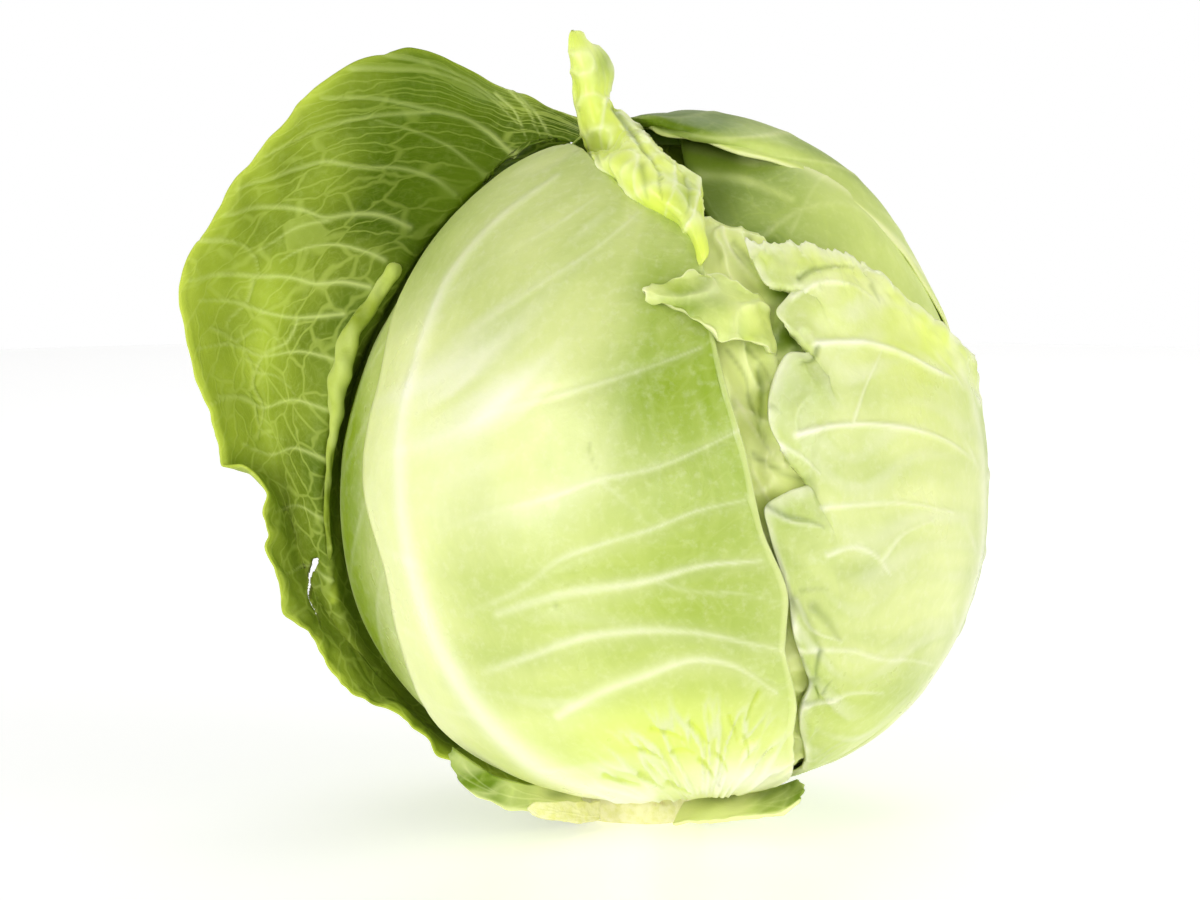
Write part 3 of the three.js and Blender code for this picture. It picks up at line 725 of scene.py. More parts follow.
OUTER_BACK = [
  [
    at_stump(-124, -1.1),
    around(-124, -60, -1.1),
    around(-122, -35, -1.1),
    around(-121, 0, -1.1),
    around(-122, 28, -1.0),
    around(-124, 48, 0.5),
    around(-146, 63, 2.5),
    held(536, 106, 47),
  ],
  [
    at_stump(-138, -1.1),
    around(-140, -60, -1.1),
    around(-143, -35, -1.1),
    around(-146, 0, -1.1),
    around(-150, 28, -0.8),
    around(-154, 48, 0.5),
    around(-158, 62, 4),
    held(560, 116, 44),
  ],
  [
    at_stump(-152, -1.1),
    around(-160, -60, -1.1),
    around(-172, -35, -1.1),
    around(-178, 0, -1.1),
    around(178, 28, -0.8),
    around(176, 48, 0),
    around(178, 62, 2),
    held(588, 135, 40),
  ],
]

# Cut-off bases of removed leaves, spread round the stump
STUB_LEFT = [
  [held(582, 817, -18.5), held(545, 812, -24), held(505, 809, -28), held(482, 797, -31), held(462, 784, -32)],
  [held(576, 808, -18), held(540, 799, -24), held(505, 793, -29), held(472, 780, -33), held(447, 764, -32)],
  [held(570, 798, -18), held(536, 788, -24), held(508, 780, -30), held(474, 762, -34), held(447, 742, -31)],
]

STUB_FRONT = [
  [held(600, 820, -22), held(577, 823, -29), held(552, 822, -34), held(528, 817, -35)],
  [held(598, 816, -21.5), held(576, 815, -28), held(551, 812, -33), held(528, 808, -34)],
  [held(596, 812, -21), held(575, 807, -27), held(550, 803, -32), held(528, 800, -33)],
]

STUB_RIGHT = [
  [held(672, 825, -27), held(700, 823, -33), held(740, 820, -39), held(778, 815, -42), held(800, 802, -42)],
  [held(677, 814, -21), held(704, 809, -27), held(742, 806, -32), held(782, 800, -36), held(808, 788, -39)],
  [held(684, 802, -17), held(708, 797, -20), held(742, 794, -25), held(780, 786, -29), held(801, 777, -35)],
]

# %% [markdown]
# ## The torn margin of the right leaf
# The right leaf's left margin has three tears. They are too fine for the solid model, so its first
# line is drawn again here with more points, each tear going in to the right and out again.

# %% A finer first line for the right leaf
RIGHT[0] = [
    at_stump(46, -1.1),
    seen(801, 765, -1.1),
    seen(803, 744, -1.1),
    seen(799, 722, -1.1),
    seen(800, 704, -1.2),
    seen(808, 686, -1.8),
    seen(803, 664, -1.4),
    seen(792, 628, -0.8),
    seen(789, 600, -0.8),
    seen(779, 568, -0.7),
    seen(768, 530, -0.4),
    seen(764, 508, -0.2),
    seen(786, 492, -0.6),
    seen(812, 480, -1.2),
    seen(796, 462, -0.6),
    seen(778, 443, -0.1),
    seen(769, 424, 0.3),
    seen(768, 402, 0.5),
    seen(771, 384, 0.4),
    seen(779, 364, 0.1),
    seen(785, 355, -0.1),
    seen(806, 353, -0.8),
    seen(819, 345, -1.2),
    seen(809, 334, -0.8),
    seen(790, 328, 0.2),
    seen(776, 313, 0.5),
    seen(786, 298, -0.2),
    seen(799, 281, -1.2),
    seen(784, 280, -0.9),
    seen(766, 288, 0.0),
    seen(752, 264, 0.3),
    seen(741, 240, 0.0),
]

# The dark leaf's tips reach behind the curl, and the left stub reaches in under the head
for line, x, y, depth in ((OUTER[0], 590, 130, 30), (OUTER[1], 594, 136, 28), (OUTER[2], 597, 145, 24)):
    line[-1] = held(x, y, depth)
STUB_LEFT[2][:2] = [held(580, 790, -15), held(542, 786, -22.5)]
STUB_LEFT[1][0] = held(582, 806, -17)

# The roll sinks into the leaf below its widest part
ROLL[:4] = [
    (held(330, 560, 4.6), 0.6), (held(327, 500, 4.4), 0.8), (held(330, 458, 4.2), 1.1), (held(335, 425, 3.6), 1.7)
]

# The small cut slice in front has rounded ends, and its top meets the left stub
STUB_FRONT[0][-1] = held(533, 816, -35)
STUB_FRONT[1][-1] = held(527, 809, -34)
STUB_FRONT[2] = [held(598, 801, -20), held(577, 799, -26), held(552, 801, -31.5), held(534, 802, -33)]

# The flap's torn end goes in under the right leaf
FLAP[0] = [seen(777, 359, -3.2), seen(760, 352, 0.2), seen(720, 344, 1.6), seen(690, 322, 1.4), seen(646, 296, 1.2)]
FLAP[1] = [seen(770, 328, -3.2), seen(754, 318, 1.2), seen(716, 306, 2.8), seen(680, 298, 2.0), seen(643, 292, 1.2)]
FLAP[2] = [seen(757, 292, -3.2), seen(742, 284, 0.6), seen(708, 272, 1.6), seen(680, 277, 1.4), seen(646, 289, 1.2)]
print("torn margin points:", len(RIGHT[0]))


# %% [markdown]
# ## Veins that the photograph shows
# Each vein is a short list of pixels from its thick end to its thin one, with its width in pixels
# and its strength. The distance from each point of a leaf to these lines raises a rib there and
# marks it for the finish, so colour and relief always agree.

# %% Vein lines
FRONT_VEINS = [
    (26, 1.0, [(640, 790), (560, 770), (500, 725), (455, 665), (425, 590), (408, 510), (408, 430), (425, 350)]),
    (12, 0.6, [(425, 350), (455, 280), (500, 225), (560, 180)]),
    (10, 0.9, [(500, 612), (560, 595), (650, 580), (700, 566), (760, 560)]),
    (9, 0.9, [(490, 668), (530, 655), (590, 635), (650, 629), (700, 632), (740, 640), (780, 648)]),
    (9, 0.9, [(560, 712), (600, 690), (640, 675), (700, 658), (730, 663), (775, 690)]),
    (8, 0.7, [(470, 610), (520, 590), (560, 560), (600, 545), (650, 530), (700, 510), (745, 500)]),
    (8, 0.6, [(445, 530), (500, 510), (560, 495), (600, 480), (650, 470), (700, 450), (740, 430)]),
    (8, 0.55, [(420, 450), (460, 430), (500, 412), (560, 396), (640, 372), (700, 350)]),
    (8, 0.5, [(430, 370), (480, 330), (540, 290), (600, 250), (640, 215)]),
    (7, 0.4, [(450, 300), (500, 262), (560, 228), (600, 200)]),
    (5, 0.25, [(600, 480), (625, 500), (650, 525)]),
    (5, 0.3, [(650, 580), (690, 590), (740, 592), (775, 600)]),
]
RIGHT_VEINS = [
    (7, 0.8, [(815, 345), (840, 343), (870, 345), (900, 355), (935, 373), (965, 385)]),
    (7, 0.8, [(795, 435), (830, 427), (870, 425), (910, 430), (940, 440), (970, 460)]),
    (6, 0.5, [(820, 508), (860, 505), (900, 503), (950, 512)]),
    (6, 0.6, [(825, 555), (850, 547), (880, 560), (890, 575)]),
    (6, 0.5, [(800, 650), (850, 650), (880, 658), (910, 658), (935, 665)]),
    (6, 0.6, [(800, 705), (830, 697), (845, 692), (880, 690)]),
    (6, 0.5, [(780, 445), (800, 458), (818, 475)]),
    (6, 0.5, [(762, 505), (785, 520), (820, 527)]),
    (6, 0.5, [(795, 600), (812, 630), (840, 640)]),
    (5, 0.5, [(810, 680), (800, 705), (795, 735)]),
    (5, 0.5, [(790, 300), (820, 285), (850, 290), (870, 300)]),
    (5, 0.4, [(850, 427), (862, 390), (880, 350)]),
    (5, 0.4, [(880, 560), (900, 535), (930, 520)]),
]
OUTER_VEINS = [
    (4, 0.8, [(497, 94), (516, 112), (529, 142)]),
    (4, 0.8, [(508, 91), (528, 110), (543, 140)]),
    (5, 0.9, [(519, 95), (539, 118), (553, 140)]),
    (4, 0.5, [(210, 330), (232, 342), (250, 372), (246, 400)]),
    (4, 0.5, [(232, 342), (258, 330), (282, 342)]),
    (4, 0.5, [(250, 372), (282, 378), (300, 398)]),
    (4, 0.5, [(215, 398), (246, 400), (262, 432), (290, 440)]),
    (8, 1.0, [(540, 150), (518, 155), (490, 135), (460, 118), (430, 110), (410, 105), (370, 97), (320, 97)]),
    (6, 0.7, [(430, 112), (380, 115), (340, 122), (310, 130), (262, 155)]),
    (6, 0.7, [(485, 175), (440, 142), (410, 130), (375, 120)]),
    (7, 0.9, [(455, 195), (430, 178), (400, 170), (360, 170), (325, 162), (300, 168), (270, 175), (235, 190)]),
    (8, 1.0, [(410, 230), (380, 217), (350, 216), (325, 219), (305, 212), (280, 207), (250, 208), (220, 215)]),
    (5, 0.7, [(330, 222), (300, 228), (275, 240), (255, 250)]),
    (5, 0.7, [(200, 240), (235, 243), (250, 255), (255, 275)]),
    (7, 0.9, [(385, 262), (370, 255), (340, 246), (310, 248), (280, 262)]),
    (8, 1.0, [(370, 288), (345, 284), (315, 285), (300, 280), (250, 275), (210, 275), (185, 280)]),
    (7, 0.9, [(345, 315), (300, 318), (270, 314), (230, 302), (195, 300)]),
    (6, 0.7, [(375, 50), (440, 68), (470, 80), (510, 110)]),
    (6, 0.7, [(350, 68), (400, 68), (480, 90), (520, 125)]),
    (6, 0.8, [(338, 360), (300, 352), (260, 356), (225, 345), (195, 350)]),
    (6, 0.8, [(330, 410), (295, 400), (262, 408), (230, 398), (208, 405)]),
    (6, 0.8, [(328, 460), (300, 448), (268, 455), (240, 445)]),
    (5, 0.7, [(325, 520), (300, 505), (275, 512)]),
    (5, 0.7, [(330, 580), (310, 565), (285, 575)]),
    (5, 0.7, [(300, 318), (290, 340), (262, 356), (250, 385), (262, 408), (255, 440)]),
    (4, 0.6, [(250, 275), (245, 300), (225, 325), (225, 345)]),
]
VALLEY_VEINS = [
    (6, 0.9, [(720, 232), (730, 255), (757, 285)]),
    (5, 0.5, [(735, 400), (760, 440), (790, 470), (815, 480)]),
    (5, 0.5, [(750, 470), (775, 510), (800, 530)]),
]
TOP_RIM = [(9, 1.0, [(742, 158), (770, 168), (805, 184), (850, 209), (888, 238), (918, 270), (943, 308), (960, 340)])]
SLIT = [(8.5, 1.0, [(316, 560), (311, 578), (308, 598), (316, 615), (320, 640)])]
# Crease lines cut a groove into the relief and mark painted shade along it for the finish.
FRONT_CREASES = [
    (5, 0.9, [(690, 206), (693, 232), (702, 262)]),
    (4, 0.5, [(590, 445), (593, 458), (598, 470)]),
    (5, 0.5, [(556, 604), (560, 610), (561, 616)]),
]
YOUNG_STROKES = [
    (5, 1.0, [(652, 724), (668, 727), (684, 734)]),
    (5, 0.9, [(690, 718), (699, 726), (708, 738)]),
    (5, 1.0, [(700, 754), (708, 762), (713, 770)]),
    (4, 0.8, [(728, 712), (733, 724), (736, 736)]),
    (5, 1.0, [(640, 768), (652, 774), (664, 782)]),
    (5, 0.9, [(606, 768), (624, 774), (640, 778)]),
    (4, 0.8, [(756, 690), (750, 702), (745, 714)]),
    (5, 0.8, [(672, 746), (684, 744), (694, 748)]),
    (4, 0.8, [(636, 742), (650, 746), (662, 752)]),
    (5, 0.9, [(668, 776), (680, 782), (690, 786)]),
    (4, 0.7, [(716, 748), (722, 756), (726, 764)]),
    (4, 0.7, [(742, 730), (746, 742), (747, 752)]),
]
RIGHT_CREASES = [
    (8, 0.9, [(762, 503), (780, 514), (805, 520), (822, 527)]),
    (14, 0.6, [(792, 600), (802, 614), (812, 632), (820, 648)]),
    (13, 0.6, [(812, 606), (824, 618), (838, 638)]),
    (6, 0.9, [(819, 650), (815, 664), (814, 680)]),
    (6, 0.8, [(800, 660), (805, 672), (810, 680)]),
    (13, 1.0, [(806, 680), (811, 678), (816, 676)]),
    (6, 0.8, [(808, 684), (798, 698), (794, 718), (791, 738)]),
    (6, 0.7, [(796, 703), (812, 700), (830, 695)]),
    (4, 0.7, [(815, 684), (817, 692), (818, 700)]),
    (4, 0.6, [(822, 690), (826, 682), (830, 678)]),
    (11, 0.6, [(805, 480), (812, 488), (815, 498)]),
    (7, 0.9, [(797, 281), (808, 275), (820, 272), (836, 270), (850, 270)]),
    (6, 0.5, [(868, 288), (873, 296), (877, 303)]),
    (6, 0.9, [(816, 349), (814, 358), (796, 366)]),
    (4, 0.6, [(770, 406), (776, 412), (780, 416)]),
    (7, 0.4, [(800, 590), (815, 588), (825, 588)]),
]
VALLEY_CREASES = [
    (7, 0.6, [(757, 372), (762, 402), (758, 432), (768, 452)]),
    (5, 0.5, [(727, 352), (745, 382), (748, 402)]),
    (6, 0.5, [(733, 246), (745, 258), (756, 276)]),
    (7, 0.6, [(752, 455), (775, 470), (800, 480), (815, 490)]),
    (6, 0.5, [(745, 350), (760, 365), (770, 385)]),
    (6, 0.5, [(748, 395), (756, 420), (765, 440)]),
    (9, 0.8, [(748, 244), (752, 252), (760, 258)]),
]
CURL_RIMS = [
    (4, 1.0, [(618, 114), (632, 128), (645, 143), (668, 164)]),
    (4, 0.8, [(672, 166), (674, 185), (668, 212)]),
    (4, 0.9, [(697, 182), (694, 205), (690, 230)]),
    (5, 1.0, [(600, 166), (625, 186), (640, 202), (655, 210), (690, 230)]),
    (4, 0.6, [(637, 160), (637, 180), (646, 200)]),
    (5, 0.7, [(602, 100), (602, 130), (606, 155)]),
]
CURL_CREASES = [
    (5, 1.0, [(612, 110), (628, 130), (641, 150), (652, 165), (662, 182)]),
    (7, 0.6, [(641, 168), (645, 182), (650, 196)]),
    (6, 0.5, [(684, 180), (688, 198), (686, 215)]),
    (4, 0.6, [(590, 150), (598, 158), (606, 166)]),
    (4, 0.5, [(658, 175), (660, 190), (664, 200)]),
]
OUTER_CREASES = [
    (4, 1.0, [(518, 94), (530, 106), (537, 120), (541, 148)]),
    (12, 0.8, [(336, 460), (332, 500), (333, 545), (342, 590), (358, 625), (384, 668), (420, 700), (446, 728)]),
    (8, 0.5, [(318, 555), (322, 590), (328, 625)]),
    (6, 0.5, [(300, 500), (290, 520), (296, 540)]),
    (6, 0.5, [(372, 700), (392, 705), (412, 712)]),
    (5, 0.5, [(350, 650), (362, 672), (372, 690)]),
    (5, 0.4, [(188, 262), (184, 300), (190, 330), (200, 370)]),
]
UPPER_VEINS = [
    (6, 0.6, [(760, 240), (800, 215), (840, 215), (880, 240)]),
    (5, 0.5, [(790, 235), (820, 190), (850, 205)]),
]


def curve_through(points, pieces=6):
    rows = np.array(points, float)
    knots = np.append(0, np.cumsum(np.linalg.norm(np.diff(rows, axis=0), axis=1)))
    return smooth_through(knots / knots[-1], rows, np.linspace(0, 1, pieces * len(points)))


def near_lines(pixels, lines):
    """How strongly each pixel lies on one of the lines, from 0 to 1."""
    flat = pixels.reshape(-1, 2)
    most = np.zeros(len(flat))
    for width, strength, points in lines:
        track = curve_through(points)
        for k in range(len(track) - 1):
            start, step = track[k], track[k + 1] - track[k]
            share = np.clip(((flat - start) @ step) / (step @ step), 0, 1)
            away = np.linalg.norm(flat - start - share[:, None] * step, axis=1)
            done = (k + share) / (len(track) - 1)
            half = 0.5 * width * (1 - 0.6 * done)
            mark = strength * (1 - 0.5 * done) * np.exp(-((away / half) ** 2))
            most = np.maximum(most, mark)
    return most.reshape(pixels.shape[:-1])


# %% [markdown]
# ## A blade
# A leaf blade is a thin shell. Its inner face lies on the net, and its outer face stands over it by
# the blade's thickness and its ribs. The two faces share their grid and are closed by a rim, so the
# mesh is a real solid. The grid also stores what the finish needs: where the veins are, how green
# the blade is there, and its own flat measure in millimetres for the fine net of veins.

# %% Build a blade
BLADE = 0.9


BOX_MARGIN = 0.005
DRAWN_IN = ((1, -1, 0.15), (1, 1, 0.15), (0, 1, 0.05))


def inside_box(spots):
    """Draws in the outermost 5 mm a little, where a swelling could stand out of the solids' box."""
    for axis, way, share in DRAWN_IN:
        edge = way * SOLID_BOX[1 if way > 0 else 0][axis]
        spots[:, axis] -= way * share * np.clip(way * spots[:, axis] - edge + BOX_MARGIN, 0, None)
    return spots


def shell_mesh(name, inner, outer, marks):
    down, wide = inner.shape[:2]
    spots = inside_box(np.concatenate([inner.reshape(-1, 3), outer.reshape(-1, 3)]) / 1000)
    index = np.arange(2 * down * wide).reshape(2, down, wide)

    def quads(a, b, c, d):
        return np.stack([a.ravel(), b.ravel(), c.ravel(), d.ravel()], axis=-1)

    top, low = index[1], index[0]
    gone = marks.pop("gone", np.zeros((down, wide)))
    open_cell = (gone[:-1, :-1] + gone[1:, :-1] + gone[1:, 1:] + gone[:-1, 1:]) / 4 > 0.5
    shut = ~open_cell.ravel()
    faces = [
        quads(top[:-1, :-1], top[:-1, 1:], top[1:, 1:], top[1:, :-1])[shut],
        quads(low[:-1, :-1], low[1:, :-1], low[1:, 1:], low[:-1, 1:])[shut],
        quads(low[0, :-1], low[0, 1:], top[0, 1:], top[0, :-1]),
        quads(top[-1, :-1], top[-1, 1:], low[-1, 1:], low[-1, :-1]),
        quads(top[:-1, 0], top[1:, 0], low[1:, 0], low[:-1, 0]),
        quads(low[:-1, -1], low[1:, -1], top[1:, -1], top[:-1, -1]),
    ]
    # Round a slit, the two faces of the blade are joined by a wall on each side of it
    before, after = open_cell[:, :-1].ravel(), open_cell[:, 1:].ravel()
    faces.append(quads(low[:-1, 1:-1], low[1:, 1:-1], top[1:, 1:-1], top[:-1, 1:-1])[~before & after])
    faces.append(quads(top[:-1, 1:-1], top[1:, 1:-1], low[1:, 1:-1], low[:-1, 1:-1])[before & ~after])
    before, after = open_cell[:-1].ravel(), open_cell[1:].ravel()
    faces.append(quads(top[1:-1, :-1], top[1:-1, 1:], low[1:-1, 1:], low[1:-1, :-1])[~before & after])
    faces.append(quads(low[1:-1, :-1], low[1:-1, 1:], top[1:-1, 1:], top[1:-1, :-1])[before & ~after])
    mesh = bpy.data.meshes.new(name)
    mesh.from_pydata(spots.tolist(), [], np.concatenate(faces).tolist())
    for mark, values in marks.items():
        layer = mesh.attributes.new(mark, "FLOAT", "POINT")
        layer.data.foreach_set("value", np.tile(values.ravel(), 2).astype(np.float32))
    mesh.polygons.foreach_set("use_smooth", [True] * len(mesh.polygons))
    mesh.update()
    return mesh


def ragged(length, depth, sizes, seed, where=None):
    """How far a margin is torn back along its length, as a share of the blade, in coarse and fine teeth."""

    def cut(at):
        spots = np.stack([length * at, 0 * at, 0 * at], axis=-1)
        teeth = 0.45 + 0.6 * waves_of(spots, sizes[0], seed) + 0.45 * waves_of(spots, sizes[1], seed + 1)
        amount = depth * np.clip(teeth, 0, 1.3)
        return amount if where is None else amount * where(at)

    return cut


def tear(ways, lifts, across, along, torn):
    """Moves the margins named in torn back into the blade, and the columns near them with them."""
    reach = 0.18
    rows = np.concatenate([ways, lifts[..., None]], axis=-1)
    at = np.repeat(across[None, :], len(along), axis=0)
    if "left" in torn:
        at = at + np.clip(1 - across / reach, 0, 1) * torn["left"](along)[:, None]
    if "right" in torn:
        at = at - np.clip(1 - (1 - across) / reach, 0, 1) * torn["right"](along)[:, None]
    for row, places in zip(rows, at):
        row[:] = np.stack([np.interp(places, across, row[:, k]) for k in range(4)], axis=-1)
    if "tip" in torn:
        up = along[:, None] - np.clip(1 - (1 - along) / reach, 0, 1)[:, None] * torn["tip"](across)
        for j in range(len(across)):
            rows[:, j] = np.stack([np.interp(up[:, j], along, rows[:, j, k]) for k in range(4)], axis=-1)
    return rows[..., :3] / np.linalg.norm(rows[..., :3], axis=-1, keepdims=True), rows[..., 3]


def blade_grid(net, size, shape, dense=(1.0, 1.0), torn=None):
    """The faces of a blade, and its marks. shape(info) changes lift and gives rib, vein and green.

    dense=(limit, share) puts that share of the columns to the left of the limit, and torn gives the
    ragged margins.
    """
    limit, share = dense
    near = max(round(size[0] * share), 1)
    across = np.linspace(0, limit, near + 1)
    if near < size[0]:
        across = np.append(across, np.linspace(limit, 1, size[0] - near + 1)[1:])
    along = np.linspace(0, 1, size[1] + 1)
    ways, lifts = net_surface(net, across, along)
    if torn is not None:
        ways, lifts = tear(ways, lifts, across, along, torn)
    s, t = np.meshgrid(across, along)
    rest = place(ways, lifts)
    info = {"s": s, "t": t, "rest": rest, "pixels": pixels_of(rest)}
    made = shape(info)
    inner = place(ways, lifts + made["lift"])
    outward = np.cross(np.gradient(inner, axis=1), np.gradient(inner, axis=0))
    outward /= np.linalg.norm(outward, axis=-1, keepdims=True) + 1e-9
    edge = np.minimum.reduce([s, 1 - s, t, 1 - t])
    thick = made.get("thick", BLADE) * (0.55 + 0.45 * ramp(0, 0.02, edge))
    outer = inner + outward * (thick + made["rib"])[..., None]
    measure_u = np.cumsum(np.linalg.norm(np.gradient(rest, axis=1), axis=-1), axis=1)
    measure_v = np.cumsum(np.linalg.norm(np.gradient(rest, axis=0), axis=-1), axis=0)
    marks = {"vein": made["vein"], "green": made["green"], "flat_u": measure_u, "flat_v": measure_v}
    # The crease mark carries painted shade: creases, hollows, holes and gaps painted darker.
    marks["crease_and_painted_shade"] = made.get("crease_and_painted_shade", 0 * s)
    # The glow mark carries a painted glow on thin edges, and the yellow-green of young parts.
    marks["painted_glow_and_young_green"] = made.get("painted_glow_and_young_green", 0 * s)
    marks["gone"] = made.get("gone", 0 * s)
    return inner, outer, marks


def add_leaf(name, node, grids, finish):
    """One object from one or more blades, riding on the head and standing for its solid."""
    objects = []
    for inner, outer, marks in grids:
        mesh = shell_mesh(name, inner, outer, marks)
        mesh.materials.append(finish)
        objects.append(bpy.data.objects.new(name, mesh))
        bpy.context.collection.objects.link(objects[-1])
    leaf = objects[0]
    if len(objects) > 1:
        with bpy.context.temp_override(active_object=leaf, selected_editable_objects=objects):
            bpy.ops.object.join()
    leaf.name = name
    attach(leaf, "root")
    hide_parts(node)
    print(name, "has", 2 * len(leaf.data.polygons), "triangles")
    return leaf


def formula_veins(s, t, midrib=0.5, count=7, slant=0.35):
    """Where no vein is seen: a midrib that thins towards the tip, and slanting side veins."""
    off = np.abs(s - midrib)
    ridge = np.exp(-((off / (0.05 - 0.03 * t)) ** 2)) * (1 - 0.75 * t)
    wobble = 0.12 * np.sin(9 * off + 3 * t)
    phase = count * (t - slant * off) + wobble
    side = np.exp(-(((phase - np.round(phase)) / 0.07) ** 2)) * ramp(0.0, 0.05, off) * ramp(0.55, 0.2, off)
    return np.maximum(ridge, 0.5 * side)


# %% [markdown]
# ## Finishes
# A cabbage leaf is a thin, waxy, slightly see-through sheet. Light soaks in and glows a little, and
# the wax gives a broad soft shine. One shader with some light under the skin does that. The colour
# comes from how green the blade is at a place, the pale veins, and small mottling. Over that go
# painted shade in creases, hollows, holes and gaps, and a painted glow on thin edges with the
# yellow-green of young parts.
# A fine net of veins too small to model is drawn by cells in the leaf's own flat measure.

# %% A finish for leaves


def linear(red, green, blue):
    """A colour as the screen shows it, 0 to 255, made linear for the shader."""
    share = [channel / 255 for channel in (red, green, blue)]
    return tuple(c / 12.92 if c <= 0.04045 else ((c + 0.055) / 1.055) ** 2.4 for c in share) + (1.0,)


class Finish:
    """A small helper that keeps node building short: each call adds one node and returns its output."""

    def __init__(self, name):
        self.material = bpy.data.materials.new(name)
        self.material.use_nodes = True
        self.nodes = self.material.node_tree.nodes
        self.links = self.material.node_tree.links
        self.surface = self.nodes["Principled BSDF"]

    def set(self, socket, value):
        if isinstance(value, bpy.types.NodeSocket):
            self.links.new(value, socket)
        else:
            socket.default_value = value

    def mark(self, name):
        node = self.nodes.new("ShaderNodeAttribute")
        node.attribute_name = name
        return node.outputs["Fac"]

    def place(self):
        return self.nodes.new("ShaderNodeTexCoord").outputs["Object"]

    def math(self, kind, *values, clamp=False):
        node = self.nodes.new("ShaderNodeMath")
        node.operation = kind
        node.use_clamp = clamp
        for socket, value in zip(node.inputs, values):
            self.set(socket, value)
        return node.outputs[0]

    def vector(self, x, y, z=0.0):
        node = self.nodes.new("ShaderNodeCombineXYZ")
        for socket, value in zip(node.inputs, (x, y, z)):
            self.set(socket, value)
        return node.outputs[0]

    def noise(self, at, scale, detail=3.0, rough=0.55):
        node = self.nodes.new("ShaderNodeTexNoise")
        self.set(node.inputs["Vector"], at)
        node.inputs["Scale"].default_value = scale
        node.inputs["Detail"].default_value = detail
        node.inputs["Roughness"].default_value = rough
        return node.outputs["Fac"]

    def cells(self, at, scale):
        node = self.nodes.new("ShaderNodeTexVoronoi")
        node.feature = "DISTANCE_TO_EDGE"
        self.set(node.inputs["Vector"], at)
        node.inputs["Scale"].default_value = scale
        return node.outputs["Distance"]

    def span(self, value, low, high, to_low=0.0, to_high=1.0):
        node = self.nodes.new("ShaderNodeMapRange")
        node.interpolation_type = "SMOOTHSTEP"
        self.set(node.inputs["Value"], value)
        for name, number in (("From Min", low), ("From Max", high), ("To Min", to_low), ("To Max", to_high)):
            node.inputs[name].default_value = number
        return node.outputs["Result"]

    def mix(self, share, first, second, kind="MIX"):
        node = self.nodes.new("ShaderNodeMix")
        node.data_type = "RGBA"
        node.blend_type = kind
        self.set(node.inputs["Factor"], share)
        self.set(node.inputs["A"], first)
        self.set(node.inputs["B"], second)
        return node.outputs["Result"]

    def relief(self, height, strength, distance, under=None):
        node = self.nodes.new("ShaderNodeBump")
        node.inputs["Strength"].default_value = strength
        node.inputs["Distance"].default_value = distance
        self.set(node.inputs["Height"], height)
        if under is not None:
            self.links.new(under, node.inputs["Normal"])
        return node.outputs["Normal"]


# Painted glow: thin edges painted as if lit from behind; also the yellow-green of young parts.
GLOW_AND_YOUNG_GREEN = linear(228, 246, 96)  # thin young edges, lit from behind
# Painted shade: the dark green that the crease mark paints into creases, hollows, holes and gaps.
PAINTED_SHADE_GREEN = linear(92, 116, 10)  # the bottom of a crease


def leaf_finish(name, pale, green, vein, net, net_colour, glow, shine, gloss):
    """pale to green by the mark, veins over it, and a fine net of veins of the given strength."""
    finish = Finish(name)
    at = finish.place()
    flat_u, flat_v = finish.mark("flat_u"), finish.mark("flat_v")
    sway = finish.math("MULTIPLY", finish.math("SUBTRACT", finish.noise(at, 90.0, 2.0), 0.5), 9.0)
    flat = finish.vector(finish.math("ADD", flat_u, sway), finish.math("SUBTRACT", flat_v, sway))
    large = finish.span(finish.cells(flat, 0.115), 0.01, 0.085, 1.0, 0.0)
    small = finish.span(finish.cells(flat, 0.38), 0.0, 0.12, 1.0, 0.0)
    mesh_of_veins = finish.math("MAXIMUM", large, finish.math("MULTIPLY", small, 0.2))
    patches = finish.noise(at, 38.0, 4.0, 0.6)
    streaks = finish.noise(finish.vector(finish.math("MULTIPLY", flat_u, 0.35), finish.math("MULTIPLY", flat_v, 0.035)), 1.0, 4.0, 0.6)
    speck = finish.noise(at, 420.0, 3.0, 0.6)
    change = finish.math("ADD", finish.math("MULTIPLY", patches, 0.45), finish.math("MULTIPLY", streaks, 0.12))
    amount = finish.math("ADD", finish.mark("green"), finish.math("SUBTRACT", change, 0.285), clamp=True)
    blade = finish.mix(amount, pale, green)
    blade = finish.mix(finish.span(speck, 0.45, 0.8, 0.0, 0.15), blade, vein)
    netted = finish.mix(finish.math("MULTIPLY", mesh_of_veins, net), blade, net_colour)
    # The glow mark paints a backlit glow on thin edges, and the yellow-green of young parts.
    with_glow = finish.mix(finish.mark("painted_glow_and_young_green"), netted, GLOW_AND_YOUNG_GREEN)
    ribbed = finish.mix(finish.math("MULTIPLY", finish.mark("vein"), 0.95, clamp=True), with_glow, vein)
    # Painted shade: the crease mark darkens the colour towards that dark green.
    with_painted_shade = finish.mix(finish.math("MULTIPLY", finish.mark("crease_and_painted_shade"), 0.9, clamp=True), ribbed, PAINTED_SHADE_GREEN)
    finish.set(finish.surface.inputs["Base Color"], with_painted_shade)
    finish.set(finish.surface.inputs["Roughness"], finish.span(patches, 0.3, 0.7, shine - 0.06, shine + 0.1))
    finish.surface.inputs["Subsurface Weight"].default_value = glow
    finish.surface.inputs["Subsurface Radius"].default_value = (0.003, 0.004, 0.0012)
    finish.surface.inputs["Subsurface Scale"].default_value = 1.0
    finish.surface.inputs["IOR"].default_value = 1.42
    finish.surface.inputs["Specular IOR Level"].default_value = gloss
    grain = finish.relief(speck, 0.25, 0.0003)
    finish.set(finish.surface.inputs["Normal"], finish.relief(mesh_of_veins, 0.4 * net, 0.0006, grain))
    print("made the finish", name)
    return finish.material


